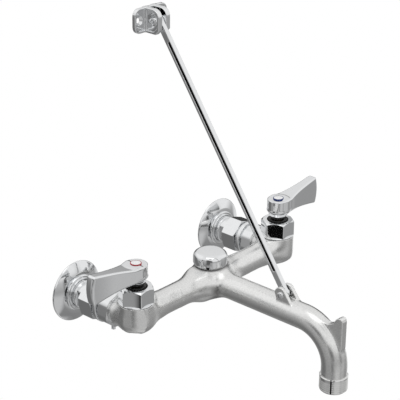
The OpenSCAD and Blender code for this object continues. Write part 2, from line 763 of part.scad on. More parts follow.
module breaker_cap() color("gainsboro") translate([0, -valve_reach, 0]) difference() {
    union() {
        translate([0, 0, boss_top - cap_thread_len])
            cylinder(r = cap_thread_r - thread_gap, h = cap_thread_len);
        translate([0, 0, boss_top]) intersection() {
            cylinder(r = cap_flats / 2 / cos(30), h = cap_h, $fn = 6);
            rotate_extrude() polygon(concat(
                [[0, 0], [cap_r, 0]],
                arc(cap_r - cap_round, cap_h - cap_round, cap_round, 0, 90, corner_steps),
                [[0, cap_h]]
            ));
        }
    }
    translate([0, 0, boss_top - cap_thread_len - overrun])
        cylinder(r = cap_ceiling_r, h = vent_seat_z - boss_top + cap_thread_len + overrun);
    translate([0, 0, vent_seat_z - overrun]) cylinder(r = vent_r, h = vent_h + overrun);
    translate([0, 0, vent_seat_z]) cylinder(r = guide_r + fit_gap, h = vent_h + guide_len);
    for (i = [0:5]) rotate([0, 0, 60 * i])
        translate([guide_r + overrun, -vent_slot_w / 2, boss_top - vent_slot_h / 2])
            cube([cap_r, vent_slot_w, vent_slot_h]);
}

module breaker_seat() color("goldenrod") translate([0, -valve_reach, breaker_ledge])
    tube(cap_thread_r - thread_gap, breaker_seat_r, breaker_seat_t);

module breaker_float() color("ivory") translate([0, -valve_reach, float_z]) {
    cylinder(r = float_r, h = float_t);
    cylinder(r = guide_r, h = vent_seat_z + vent_h + guide_len - float_travel - side_gap - float_z);
}

module breaker_float_seal() color("dimgray") translate([0, -valve_reach, float_seal_z])
    tube(float_r, guide_r, float_seal_t);

// The brace

module pin(near, far) {
    cross(pin_r, 2 * far);
    translate([-far - pin_head_t / 2, 0, 0]) cross(near, pin_head_t);
    translate([far + rivet_head_t / 2, 0, 0]) cross(rivet_head_r, rivet_head_t);
}

module brace_pin() color("silver") translate([0, -brace_pin_y, brace_pin_z]) pin(pin_head_r, ear_out);

module brace_rod() color("gainsboro") translate([0, -brace_pin_y, brace_pin_z])
rotate([bar_angle, 0, 0]) difference() {
    union() {
        for (y = [0, bar_len]) translate([0, y, 0]) cross(eye_r, bar_t);
        translate([-bar_t / 2, 0, -bar_w / 2]) cube([bar_t, bar_len, bar_w]);
    }
    for (y = [0, bar_len]) translate([0, y, 0]) cross(eye_bore_r, bar_t + overrun);
    for (side = [-1, 1]) translate([side * bar_t / 2, 0, 0]) {
        translate([-flute_depth, flute_margin, -flute_w / 2])
            cube([2 * flute_depth, bar_len - 2 * flute_margin, flute_w]);
        for (y = [flute_margin, bar_len - flute_margin]) translate([0, y, 0])
            cross(flute_w / 2, 2 * flute_depth);
    }
}

module bracket_pin() color("silver") translate([0, -bracket_pin_y, bracket_pin_z]) difference() {
    pin(bracket_head_r, cheek_out - recess_depth);
    translate([-cheek_out, 0, 0]) cross(pin_r * dimple_share, 2 * pin_head_t);
}

// Outline of the plate, seen from the front, drawn in by an inset
module plate_outline(inset) {
    w = plate_w / 2 - inset;
    h = plate_h / 2 - inset;
    c = plate_corner - inset;
    polygon(concat(
        arc(w - c, h - c, c, 0, 90, corner_steps), arc(c - w, h - c, c, 90, 180, corner_steps),
        arc(c - w, c - h, c, 180, 270, corner_steps), arc(w - c, c - h, c, 270, 360, corner_steps)
    ));
}

// Outline of a cheek, seen from the side, drawn in by an inset
module cheek_outline(inset) {
    front = -cheek_reach + inset;
    top = plate_z + plate_h / 2 - inset;
    low = plate_z - plate_h / 2 + inset;
    c = cheek_round - inset / 2;
    polygon(concat(
        [[-inset, low], [-inset, top]],
        arc(front + c, top - c, c, 90, 180, corner_steps),
        [[front, low + cheek_bevel], [front + cheek_bevel, low]]
    ));
}

module wall_bracket() color("gainsboro") difference() {
    union() {
        translate([0, 0, plate_z]) rotate([90, 0, 0]) linear_extrude(plate_t) plate_outline(0);
        slab(2 * cheek_out) cheek_outline(0);
    }
    difference() {
        translate([0, -plate_t + recess_depth, plate_z]) rotate([90, 0, 0])
            linear_extrude(plate_t) plate_outline(rim_w);
        slab(2 * cheek_out) cheek_outline(0);
    }
    for (side = [-1, 1]) {
        translate([side * (cheek_out + recess_depth), 0, 0]) intersection() {
            slab(4 * recess_depth) cheek_outline(rim_w);
            translate([-2 * recess_depth, -cheek_reach, 0])
                cube([4 * recess_depth, cheek_reach - plate_t - rim_w / 2, plate_z + plate_h]);
        }
        translate([side * screw_spacing / 2, overrun, plate_z]) rotate([90, 0, 0])
            cylinder(r = screw_hole_r, h = plate_t + 2 * overrun);
        translate([side * screw_spacing / 2, recess_depth - plate_t, plate_z]) rotate([-90, 0, 0])
            cylinder(r1 = countersink_r, r2 = screw_hole_r, h = countersink_r - screw_hole_r);
    }
    translate([-gap_w / 2, -cheek_reach - overrun, plate_z - plate_h])
        cube([gap_w, cheek_reach - plate_t + overrun, 2 * plate_h]);
    translate([0, -bracket_pin_y, bracket_pin_z]) cross(eye_bore_r, 2 * cheek_out + overrun);
}

// The same pieces on the hot and the cold side

module hot_flange() inlet(hot_side) flange();
module hot_supply_shank() inlet(hot_side) supply_shank();
module hot_coupling_nut() inlet(hot_side) coupling_nut();
module hot_union_washer() inlet(hot_side) union_washer();
module hot_stop_body() inlet(hot_side) stop_body();
module hot_stop_plug() inlet(hot_side) stop_plug();
module hot_stop_gland() inlet(hot_side) stop_gland();
module hot_cartridge() valve(hot_side) cartridge();
module hot_seat_seal() valve(hot_side) seat_seal();
module hot_fixed_disc() valve(hot_side) fixed_disc();
module hot_moving_disc() valve(hot_side) moving_disc();
module hot_stem() valve(hot_side) stem();
module hot_stem_ring() valve(hot_side) stem_ring();
module hot_bonnet_nut() valve(hot_side) bonnet_nut();
module hot_handle() valve(hot_side) outward(hot_side) handle();
module hot_handle_screw() valve(hot_side) handle_screw();
module hot_index_button() valve(hot_side) index_button("firebrick");
module cold_flange() inlet(cold_side) flange();
module cold_supply_shank() inlet(cold_side) supply_shank();
module cold_coupling_nut() inlet(cold_side) coupling_nut();
module cold_union_washer() inlet(cold_side) union_washer();
module cold_stop_body() inlet(cold_side) stop_body();
module cold_stop_plug() inlet(cold_side) stop_plug();
module cold_stop_gland() inlet(cold_side) stop_gland();
module cold_cartridge() valve(cold_side) cartridge();
module cold_seat_seal() valve(cold_side) seat_seal();
module cold_fixed_disc() valve(cold_side) fixed_disc();
module cold_moving_disc() valve(cold_side) moving_disc();
module cold_stem() valve(cold_side) stem();
module cold_stem_ring() valve(cold_side) stem_ring();
module cold_bonnet_nut() valve(cold_side) bonnet_nut();
module cold_handle() valve(cold_side) outward(cold_side) handle();
module cold_handle_screw() valve(cold_side) handle_screw();
module cold_index_button() valve(cold_side) index_button("steelblue");

faucet_body();
hot_flange();
hot_supply_shank();
hot_coupling_nut();
hot_union_washer();
hot_stop_body();
hot_stop_plug();
hot_stop_gland();
hot_cartridge();
hot_seat_seal();
hot_fixed_disc();
hot_moving_disc();
hot_stem();
hot_stem_ring();
hot_bonnet_nut();
hot_handle();
hot_handle_screw();
hot_index_button();
cold_flange();
cold_supply_shank();
cold_coupling_nut();
cold_union_washer();
cold_stop_body();
cold_stop_plug();
cold_stop_gland();
cold_cartridge();
cold_seat_seal();
cold_fixed_disc();
cold_moving_disc();
cold_stem();
cold_stem_ring();
cold_bonnet_nut();
cold_handle();
cold_handle_screw();
cold_index_button();
breaker_cap();
breaker_seat();
breaker_float();
breaker_float_seal();
brace_pin();
brace_rod();
bracket_pin();
wall_bracket();
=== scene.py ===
"""A wall-mounted service faucet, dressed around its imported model.

The frame is the row's own: the wall is the plane y = 0, +Z is up and +X is the cold side. Sizes in this
script are millimetres, and a mesh is scaled to metres when it becomes a piece.
"""
import json
import logging
import math
from dataclasses import dataclass, field
from enum import Enum
from typing import Callable, Iterable, Optional, Sequence

import bmesh
import bpy
import numpy as np
from mathutils import Matrix, Vector


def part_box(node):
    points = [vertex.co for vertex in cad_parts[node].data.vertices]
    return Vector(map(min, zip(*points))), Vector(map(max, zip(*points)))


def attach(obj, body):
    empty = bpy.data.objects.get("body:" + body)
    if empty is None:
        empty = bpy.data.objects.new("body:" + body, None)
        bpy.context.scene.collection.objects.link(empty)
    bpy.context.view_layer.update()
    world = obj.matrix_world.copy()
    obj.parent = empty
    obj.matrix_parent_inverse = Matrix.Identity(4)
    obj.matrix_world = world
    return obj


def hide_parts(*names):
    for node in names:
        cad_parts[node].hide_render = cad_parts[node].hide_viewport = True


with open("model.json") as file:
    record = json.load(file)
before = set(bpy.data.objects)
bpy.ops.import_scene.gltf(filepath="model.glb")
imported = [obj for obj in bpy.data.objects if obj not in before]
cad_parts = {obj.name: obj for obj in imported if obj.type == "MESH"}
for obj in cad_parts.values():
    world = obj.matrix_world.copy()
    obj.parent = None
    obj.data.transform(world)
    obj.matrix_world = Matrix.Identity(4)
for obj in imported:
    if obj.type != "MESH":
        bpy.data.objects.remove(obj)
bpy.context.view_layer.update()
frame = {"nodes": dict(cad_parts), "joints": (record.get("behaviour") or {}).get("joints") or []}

MM = 0.001
LOG = logging.getLogger("faucet")
Points = np.ndarray
Field = Callable[[Points], np.ndarray]
Outline = Sequence[tuple[float, float]]


# Places that the frame gives

def joint_place(name: str) -> Vector:
    """Gives the place of the record's joint of that name, in millimetres."""
    joint = next(j for j in frame["joints"] if j["name"] == name)
    return Vector(joint["pos_m"]) / MM


def room_of(node: str, low_gap: float, high_gap: float) -> tuple[list[float], list[float]]:
    """Gives a CAD node's box in millimetres, widened to leave room for a piece's mesh.

    Args:
        node: The node's name.
        low_gap: How far the lowest corner moves out.
        high_gap: How far the highest corner moves out.

    Returns:
        The lowest and the highest corner.
    """
    low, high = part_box(node)
    return [v - low_gap for v in low / MM], [v + high_gap for v in high / MM]


class Side(Enum):
    """The two sides of the faucet, seen facing the wall."""

    HOT = -1
    COLD = 1

    @property
    def word(self) -> str:
        """The side's word in the nodes' names."""
        return self.name.lower()

    @property
    def valve(self) -> Vector:
        """The valve's axis at the height of the inlets."""
        place = joint_place(f"{self.word}_handle_turn")
        return Vector((place.x, place.y, 0.0))


# Forms

@dataclass
class Form:
    """Corners in millimetres and the faces between them.

    The normals are one for each corner, where they are known. The tags number the finish of each face.
    """

    corners: np.ndarray
    faces: list[tuple[int, ...]]
    normals: Optional[np.ndarray] = None
    tags: list[int] = field(default_factory=list)

    @property
    def middles(self) -> np.ndarray:
        """The middle of each face, where all have four corners."""
        return self.corners[np.array(self.faces)].mean(axis=1)

    def moved(self, place: Matrix) -> "Form":
        """Turns and shifts the form.

        Args:
            place: The rotation and shift, with no scale.

        Returns:
            The moved form.
        """
        turn = np.array(place.to_3x3())
        shift_by = np.array(place.to_translation())
        normals = None if self.normals is None else self.normals @ turn.T
        return Form(self.corners @ turn.T + shift_by, self.faces, normals, self.tags)

    @staticmethod
    def joined(forms: Iterable["Form"]) -> "Form":
        """Puts forms side by side in one.

        Args:
            forms: The forms.

        Returns:
            One form with all of them, whose known normals are dropped.
        """
        corners, faces, tags, start = [], [], [], 0
        for form in forms:
            corners.append(form.corners)
            faces += [tuple(i + start for i in face) for face in form.faces]
            tags += form.tags or [0] * len(form.faces)
            start += len(form.corners)
        return Form(np.concatenate(corners), faces, None, tags)


def arc(centre: tuple[float, float], radius: float, start: float, end: float,
        steps: int) -> list[tuple[float, float]]:
    """Points of an arc in a profile.

    Args:
        centre: The arc's centre.
        radius: Its radius.
        start: Its first angle in degrees.
        end: Its last angle in degrees.
        steps: How many steps it takes.

    Returns:
        The points from start to end.
    """
    angles = [math.radians(start + (end - start) * i / steps) for i in range(steps + 1)]
    return [(centre[0] + radius * math.cos(a), centre[1] + radius * math.sin(a)) for a in angles]


def beside(u: float, v: float, offsets: Outline) -> list[tuple[float, float]]:
    """Points of a profile or an outline, drawn as offsets from one place."""
    return [(u + du, v + dv) for du, dv in offsets]


def circle(radius: float, steps: int = 96) -> np.ndarray:
    """Points of a circle about the origin, anticlockwise."""
    angles = np.arange(steps) * 2 * math.pi / steps
    return radius * np.stack([np.cos(angles), np.sin(angles)], axis=1)


def hexagon(flats: float, corner_round: float, crown: float, turn: float = 0.0,
            limit: float = math.inf) -> np.ndarray:
    """Points of a hexagon with rounded corners and slightly crowned sides, anticlockwise.

    Args:
        flats: Distance across its flats.
        corner_round: Radius of its corners.
        crown: How far the middle of each side stands proud.
        turn: Turn in degrees from having a corner on +X.
        limit: Radius that the corners are turned down to.

    Returns:
        The points.
    """
    side_steps, corner_steps = 14, 4
    half = (flats / 2 - corner_round) * math.tan(math.pi / 6)
    points = []
    for k in range(6):
        middle = math.radians(turn + 60 * k + 30)
        out = np.array([math.cos(middle), math.sin(middle)])
        along = np.array([-out[1], out[0]])
        for i in range(side_steps + 1):
            s = 2 * i / side_steps - 1
            points.append(out * (flats / 2 + crown * (1 - s * s)) + along * half * s)
        centre = out * (flats / 2 - corner_round) + along * half
        for i in range(1, corner_steps):
            angle = middle + math.radians(60 * i / corner_steps)
            points.append(centre + corner_round * np.array([math.cos(angle), math.sin(angle)]))
    points = np.array(points)
    radius = np.linalg.norm(points, axis=1)
    return points * np.minimum(1, limit / radius)[:, None]


def turned(profile: Outline, outline: Optional[np.ndarray] = None, closed: bool = True,
           steps: int = 96) -> Form:
    """Turns a profile about the z axis, cut to an outline as a nut is milled from a turned blank.

    Args:
        profile: (radius, height) points, up the outside, from the underside to the top.
        outline: Points about the axis that the form stays within, or None for a round form.
        closed: Whether the profile's end meets its start, as on a ring.
        steps: How many steps a round form takes.

    Returns:
        The form.
    """
    outline = circle(max(r for r, _ in profile) + 1, steps) if outline is None else outline
    limits = np.linalg.norm(outline, axis=1)
    ways = outline / limits[:, None]
    widest = max(range(len(profile)), key=lambda i: profile[i][0])
    rows = []
    for i, (r, z) in enumerate(profile):
        # A point outside the outline slides back along the profile to where this crosses it
        step = 1 if i <= widest else -1
        radii, heights = np.full(len(limits), float(r)), np.full(len(limits), float(z))
        over = radii > limits
        back = i
        while over.any() and 0 <= back - step < len(profile):
            r1, z1 = profile[back - step]
            r0, z0 = profile[back]
            hit = over & (r1 <= limits)
            if r0 != r1:
                share = (limits[hit] - r1) / (r0 - r1)
                radii[hit] = limits[hit]
                heights[hit] = z1 + (z0 - z1) * share
            over &= ~hit
            back -= step
        radii[over] = limits[over]
        rows.append(np.column_stack([ways * radii[:, None], heights]))
    count = len(limits)
    faces = []
    for i in range(len(rows) if closed else len(rows) - 1):
        low, high = i * count, (i + 1) % len(rows) * count
        for j in range(count):
            k = (j + 1) % count
            faces.append((low + j, low + k, high + k, high + j))
    return Form(np.concatenate(rows), faces)


# Distance fields, for castings and forgings whose parts run into each other

def mirrored(p: Points) -> Points:
    """Folds the points onto the side of +X."""
    return np.column_stack([np.abs(p[:, 0]), p[:, 1], p[:, 2]])


def ease(values: np.ndarray) -> np.ndarray:
    """A smooth step: 0 up to 0, 1 from 1 on, and level at both ends between them."""
    share = np.clip(values, 0, 1)
    return share * share * (3 - 2 * share)


def both(*distances: np.ndarray) -> np.ndarray:
    """Distance to where several solids overlap, rounded outside their shared edges."""
    stack = np.stack(distances)
    return np.minimum(stack.max(axis=0), 0) + np.linalg.norm(np.maximum(stack, 0), axis=0)


def melt(a: np.ndarray, b: np.ndarray, fillet: float) -> np.ndarray:
    """Joins two solids with a fillet between them."""
    share = np.clip(0.5 + 0.5 * (b - a) / fillet, 0, 1)
    return b * (1 - share) + a * share - fillet * share * (1 - share)


def carve(a: np.ndarray, b: np.ndarray, fillet: float) -> np.ndarray:
    """Cuts solid b out of solid a, with a rounded edge."""
    return -melt(-a, b, fillet)


def bar(p: Points, start: Sequence[float], end: Sequence[float], radius: float,
        end_radius: Optional[float] = None, edge: float = 0.0) -> np.ndarray:
    """Distance to a straight round bar or cone.

    Args:
        p: Points.
        start: Centre of its first end.
        end: Centre of its other end.
        radius: Its radius at the start.
        end_radius: Its radius at the end, if it is a cone.
        edge: Rounding of its rims.

    Returns:
        The distances.
    """
    first = np.array(start, float)
    axis = np.array(end, float) - first
    length = np.linalg.norm(axis)
    axis /= length
    along = (p - first) @ axis
    radial = np.linalg.norm(p - first - along[:, None] * axis, axis=1)
    last = radius if end_radius is None else end_radius
    width = radius + (last - radius) * np.clip(along / length, 0, 1)
    side = (radial - width) / math.hypot(1, (last - radius) / length)
    return both(side + edge, np.abs(along - length / 2) - length / 2 + edge) - edge


def flat_distance(u: np.ndarray, v: np.ndarray, outline: Outline) -> np.ndarray:
    """Distance in a plane to a closed outline.

    Args:
        u: The points' first coordinates.
        v: Their second coordinates.
        outline: The outline's corners.

    Returns:
        The distances, negative inside.
    """
    nearest = np.full(u.shape, np.inf)
    inside = np.ones(u.shape)
    for (u0, v0), (u1, v1) in zip(outline, list(outline[1:]) + [outline[0]]):
        du, dv = u1 - u0, v1 - v0
        wu, wv = u - u0, v - v0
        share = np.clip((wu * du + wv * dv) / (du * du + dv * dv), 0, 1)
        nearest = np.minimum(nearest, (wu - du * share) ** 2 + (wv - dv * share) ** 2)
        above, below, left = v >= v0, v < v1, du * wv > dv * wu
        inside = np.where((above & below & left) | (~above & ~below & ~left), -inside, inside)
    return inside * np.sqrt(nearest)


def slab(p: Points, outline: Outline, near: float, far: float, edge: float = 0.0) -> np.ndarray:
    """Distance to a plate that stands across x, drawn by its outline in y and z.

    Args:
        p: Points.
        outline: (y, z) corners of the plate.
        near: Its lower limit in x.
        far: Its upper limit in x.
        edge: Rounding of its edges.

    Returns:
        The distances.
    """
    flat = flat_distance(p[:, 1], p[:, 2], outline) + edge
    return both(flat, np.abs(p[:, 0] - (near + far) / 2) - (far - near) / 2 + edge) - edge


def grown(solid: Field, room: tuple[Sequence[float], Sequence[float]], cell: float) -> Form:
    """Meshes the surface of a distance field, with its true normals.

    The field is first taken at the middle of each block of cells, and then in full only in the blocks that
    the surface may cross.

    Args:
        solid: The field.
        room: Lowest and highest corner of the space to look in.
        cell: Size of the mesh's faces.

    Returns:
        The form, whose corners lie on the surface.
    """
    block, reach = 4, 1.35
    low = np.array(room[0], float)
    blocks = np.ceil((np.array(room[1]) - low) / cell / block).astype(int) + 1
    counts = blocks * block
    spots = np.stack(np.meshgrid(*[np.arange(n) for n in blocks], indexing="ij"), axis=-1).reshape(-1, 3)
    rough = solid(low + cell * (spots * block + (block - 1) / 2))
    near = np.abs(rough) < cell * block * reach
    values = np.repeat(np.sign(rough)[:, None], block ** 3, axis=1) * cell * block
    inner = np.stack(np.meshgrid(*[np.arange(block)] * 3, indexing="ij"), axis=-1).reshape(-1, 3)
    fine = (spots[near][:, None, :] * block + inner[None]).reshape(-1, 3)
    values[near] = solid(low + cell * fine).reshape(-1, block ** 3)
    grid = values.reshape(*blocks, block, block, block).transpose(0, 3, 1, 4, 2, 5).reshape(counts)
    inside = grid < 0
    corner_offsets = [(i, j, k) for i in (0, 1) for j in (0, 1) for k in (0, 1)]

    def view(array: np.ndarray, offset: Sequence[int]) -> np.ndarray:
        """The array's part that holds one corner of every cell."""
        return array[tuple(slice(o, n - 1 + o) for o, n in zip(offset, counts))]

    # Each cell that the surface crosses gets a corner, at the mean of where its edges are crossed
    total = sum(view(inside, o).astype(np.int8) for o in corner_offsets)
    mixed = (total > 0) & (total < 8)
    cells = np.argwhere(mixed)
    sums, hits = np.zeros((len(cells), 3)), np.zeros(len(cells))
    unit = np.eye(3, dtype=int)
    for offset in corner_offsets:
        for axis in range(3):
            if offset[axis]:
                continue
            a = grid[tuple((cells + offset).T)]
            b = grid[tuple((cells + np.array(offset) + unit[axis]).T)]
            cross = (a < 0) != (b < 0)
            share = np.where(cross, a / np.where(a == b, 1, a - b), 0)
            sums += np.where(cross[:, None], np.array(offset) + share[:, None] * unit[axis], 0)
            hits += cross
    corners = low + cell * (cells + sums / hits[:, None])
    names = np.full(mixed.shape, -1)
    names[mixed] = np.arange(len(cells))

    # Each crossed edge of the grid gets a face between the four cells round it
    faces = []
    for axis in range(3):
        first, second = (axis + 1) % 3, (axis + 2) % 3
        edges = np.argwhere(view(inside, (0, 0, 0)) != view(inside, unit[axis]))
        edges = edges[(edges[:, first] > 0) & (edges[:, second] > 0)]
        ring = [edges - unit[first] - unit[second], edges - unit[second], edges, edges - unit[first]]
        quads = np.stack([names[tuple(r.T)] for r in ring], axis=1)
        flip = ~inside[tuple(edges.T)]
        quads[flip] = quads[flip][:, ::-1]
        faces += [tuple(q) for q in quads.tolist()]

    def slope(p: Points) -> np.ndarray:
        """The field's gradient."""
        eps = cell * 0.05
        return np.stack([(solid(p + m) - solid(p - m)) / (2 * eps) for m in np.eye(3) * eps], axis=1)

    # The corners are drawn onto the surface, by half a cell at a time at most
    passes, least_slope = 4, 0.25
    for _ in range(passes):
        way = slope(corners)
        length = np.maximum((way ** 2).sum(axis=1), least_slope)
        move = (solid(corners) / length)[:, None] * way
        corners = corners - np.clip(move, -cell / 2, cell / 2)
    way = slope(corners)
    return Form(corners, faces, way / np.maximum(np.linalg.norm(way, axis=1), 1e-6)[:, None])


# Finishes

# The mesh attribute that holds how much painted shade a corner of the casting gets in its creases, from 0 to
# 1
FOLD_SHADE_ATTRIBUTE = "fold"
# Painted shade: the dark grey that the casting's colour is darkened towards in its creases
FOLD_SHADE_TINT = "#3A3735"


def colour(code: str) -> tuple[float, float, float, float]:
    """Turns an sRGB hex value into a linear colour.

    Args:
        code: The value, as in #FFFFFF.

    Returns:
        Red, green, blue and an alpha of 1.
    """
    parts = [int(code[i:i + 2], 16) / 255 for i in (1, 3, 5)]
    linear = [c / 12.92 if c <= 0.04045 else ((c + 0.055) / 1.055) ** 2.4 for c in parts]
    return (linear[0], linear[1], linear[2], 1.0)


def blank_tree(owner: bpy.types.Material | bpy.types.World) -> bpy.types.NodeTree:
    """Gives the emptied node tree of a material or a world."""
    owner.use_nodes = True
    owner.node_tree.nodes.clear()
    return owner.node_tree


def add_node(tree: bpy.types.NodeTree, kind: str, values: Optional[dict] = None, links: Optional[dict] = None,
             **settings: object) -> bpy.types.Node:
    """Adds a node to a tree.

    Args:
        tree: The tree.
        kind: The node's type.
        values: Values of its input sockets, by name or number.
        links: Output sockets that feed its inputs, by name or number.
        **settings: The node's own settings.

    Returns:
        The node.
    """
    node = tree.nodes.new(kind)
    for key, value in settings.items():
        setattr(node, key, value)
    for key, value in (values or {}).items():
        node.inputs[key].default_value = value
    for key, socket in (links or {}).items():
        tree.links.new(socket, node.inputs[key])
    return node


@dataclass(frozen=True)
class Finish:
    """A surface: what it is made of, how it was made and the grain that it keeps.

    The real grain of these finishes is a few hundredths of a millimetre, and some tenths on the casting.
    It is drawn some ten times as coarse, from 0.5 to 2 mm, because it wouldn't show otherwise.
    """

    name: str
    tint: str
    roughness: float
    metallic: float = 0.0
    grain: float = 1.0
    relief: float = 0.0
    uneven: float = 0.0
    shade: float = 0.0
    coat: float = 0.0
    # How far painted shade darkens the colour where the mesh's crease attribute is high
    fold: float = 0.0
    patch: float = 14.0

    def build(self) -> bpy.types.Material:
        """Makes the material, or gives the one already made.

        Returns:
            The material. Its grain is in millimetres on Object coordinates, and its dull patches are
            as many grains wide as the patch says.
        """
        if self.name in bpy.data.materials:
            return bpy.data.materials[self.name]
        material = bpy.data.materials.new(self.name)
        tree = blank_tree(material)
        place = add_node(tree, "ShaderNodeTexCoord").outputs["Object"]
        fine = add_node(tree, "ShaderNodeTexNoise", {
            "Scale": 1 / (self.grain * MM), "Detail": 3.0, "Roughness": 0.55}, {"Vector": place})
        broad = add_node(tree, "ShaderNodeTexNoise", {
            "Scale": 1 / (self.grain * self.patch * MM), "Detail": 2.0}, {"Vector": place})
        rough = add_node(tree, "ShaderNodeMapRange", {
            "From Min": 0.3, "From Max": 0.7, "To Min": max(self.roughness - self.uneven, 0.01),
            "To Max": self.roughness + self.uneven}, {"Value": broad.outputs["Fac"]})
        light = colour(self.tint)
        dark = tuple(c * (1 - self.shade) for c in light[:3]) + (1.0,)
        spread = add_node(tree, "ShaderNodeMapRange", {"From Min": 0.36, "From Max": 0.64},
                          {"Value": fine.outputs["Fac"]})
        tint = add_node(tree, "ShaderNodeMix", {6: dark, 7: light}, {0: spread.outputs["Result"]},
                        data_type="RGBA")
        # Painted shade: the colour is darkened towards a dark grey by the mesh's crease attribute
        if self.fold:
            folds = add_node(tree, "ShaderNodeAttribute", attribute_name=FOLD_SHADE_ATTRIBUTE)
            deep = add_node(tree, "ShaderNodeMath", {1: self.fold}, {0: folds.outputs["Fac"]},
                            operation="MULTIPLY")
            tint = add_node(tree, "ShaderNodeMix", {7: colour(FOLD_SHADE_TINT)},
                            {0: deep.outputs[0], 6: tint.outputs[2]}, data_type="RGBA")
        bump = add_node(tree, "ShaderNodeBump", {"Strength": 1.0, "Distance": self.relief * MM},
                        {"Height": fine.outputs["Fac"]})
        shader = add_node(tree, "ShaderNodeBsdfPrincipled", {
            "Metallic": self.metallic, "Coat Weight": self.coat}, {
            "Base Color": tint.outputs[2], "Roughness": rough.outputs["Result"],
            "Normal": bump.outputs["Normal"]})
        add_node(tree, "ShaderNodeOutputMaterial", links={"Surface": shader.outputs["BSDF"]})
        return material


# Brass, machined, polished and plated: a hard mirror with a trace of buffing haze
POLISHED_CHROME = Finish("polished_chrome_plate", "#E9EAEB", 0.055, 1.0, grain=2.0, relief=0.0008,
                         uneven=0.02, shade=0.03)
# Brass, sand cast, tumbled and plated as it comes: satin, with soft pits and duller patches, and painted
# shade in its creases
CAST_CHROME = Finish("tumbled_cast_chrome", "#ECECEB", 0.27, 1.0, grain=1.5, relief=0.014, uneven=0.04,
                     shade=0.1, fold=0.75)
# The same brass and plate where the thread was turned: brighter and without the sand's pits
TURNED_CHROME = Finish("turned_chrome_plate", "#E6E6E5", 0.12, 1.0, relief=0.002, uneven=0.04, shade=0.05)
# Steel pins, turned and left bare: a soft grey shine
TURNED_STEEL = Finish("turned_stainless", "#C9C9C7", 0.2, 1.0, grain=0.8, relief=0.004, uneven=0.05,
                      shade=0.08)
# Painted dark reflection and shade, as a near-black dull plate: in the bottom of the bar's flute and in the
# outlet collar's slot
SHADE_PAINTED_PLATE = Finish("unbuffed_dark_plate", "#2B2928", 0.4, 1.0, grain=0.8, relief=0.004, uneven=0.05,
                    shade=0.2)
# Free-cutting brass, turned: yellow, with a soft shine
TURNED_BRASS = Finish("turned_brass", "#C9A65E", 0.24, 1.0, grain=0.8, relief=0.004, uneven=0.05, shade=0.1)
# Glass-filled nylon, moulded: black with a dull sheen
BLACK_NYLON = Finish("moulded_black_nylon", "#161514", 0.42, grain=0.7, relief=0.01, uneven=0.05, shade=0.3)
# Acetal, moulded: off-white and smooth
WHITE_ACETAL = Finish("moulded_white_acetal", "#E6E3DA", 0.35, relief=0.004, uneven=0.05, shade=0.04)
# Alumina, lapped flat: cream white with a low gloss
LAPPED_ALUMINA = Finish("lapped_alumina", "#EFEBE2", 0.15, grain=0.5, relief=0.001, uneven=0.03, shade=0.04)
# Nitrile rubber, moulded: black and matt
NITRILE = Finish("moulded_nitrile", "#1B1B1C", 0.6, grain=0.6, relief=0.006, uneven=0.06, shade=0.2)
# Vulcanised fibre, pressed: dull brown with a flecked face
FIBRE = Finish("pressed_fibre", "#4A443D", 0.7, grain=0.5, relief=0.01, uneven=0.05, shade=0.3)
# Index discs, moulded plugs with gloss enamel on them: a bare white disc in a coloured ring
WHITE_ENAMEL = Finish("white_index_enamel", "#F4F4F4", 0.12, relief=0.001, uneven=0.02, shade=0.02, coat=0.6)
RED_ENAMEL = Finish("red_index_enamel", "#A80F22", 0.3, relief=0.001, uneven=0.02, shade=0.1)
BLUE_ENAMEL = Finish("blue_index_enamel", "#12306E", 0.3, relief=0.001, uneven=0.02, shade=0.1)


# Pieces

# Faces that meet at more than this show an edge between them
SHARP_DEG = 33.0
# Corners nearer than the first are merged, and edges shorter than the second go
MERGE, SLIVER = 0.002, 0.001


def placed(name: str, data: bpy.types.ID) -> bpy.types.Object:
    """Puts a new object in the scene, at the origin.

    Args:
        name: The object's name.
        data: Its mesh, camera or light.

    Returns:
        The object.
    """
    thing = bpy.data.objects.new(name, data)
    bpy.context.scene.collection.objects.link(thing)
    return thing


def make_mesh(name: str, form: Form, finishes: Sequence[Finish]) -> bpy.types.Object:
    """Makes a mesh object of a form, smooth-shaded, at the origin.

    Args:
        name: The object's name.
        form: The form, in millimetres.
        finishes: Its finishes, which the form's tags number.

    Returns:
        The object.
    """
    mesh = bpy.data.meshes.new(name)
    mesh.from_pydata((form.corners * MM).tolist(), [], form.faces)
    if form.tags:
        mesh.polygons.foreach_set("material_index", form.tags)
    for finish in finishes:
        mesh.materials.append(finish.build())
    if form.normals is None:
        work = bmesh.new()
        work.from_mesh(mesh)
        bmesh.ops.remove_doubles(work, verts=work.verts, dist=MERGE * MM)
        bmesh.ops.dissolve_degenerate(work, edges=work.edges, dist=SLIVER * MM)
        work.to_mesh(mesh)
        work.free()
    mesh.polygons.foreach_set("use_smooth", [True] * len(mesh.polygons))
    if form.normals is None:
        mesh.set_sharp_from_angle(angle=math.radians(SHARP_DEG))
    else:
        mesh.normals_split_custom_set_from_vertices(form.normals.tolist())
    return placed(name, mesh)


def seat(piece: bpy.types.Object, body: str, slot: str, *nodes: str) -> None:
    """Hangs a finished piece on its body, and hides the CAD nodes that it stands for.

    Args:
        piece: The piece.
        body: The body that it rides on.
        slot: The record's slot for its finish; not used.
        *nodes: The CAD nodes that it stands for.
    """
    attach(piece, body)
    if nodes:
        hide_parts(*nodes)
    LOG.info("%s: %d faces on %s", piece.name, len(piece.data.polygons), body)


def shift(piece: bpy.types.Object, place: Matrix) -> None:
    """Moves a piece by moving its mesh, so that its object stays at the origin.

    Args:
        piece: The piece.
        place: The rotation and shift, in millimetres.
    """
    metres = place.copy()
    metres.translation = place.to_translation() * MM
    piece.data.transform(metres)


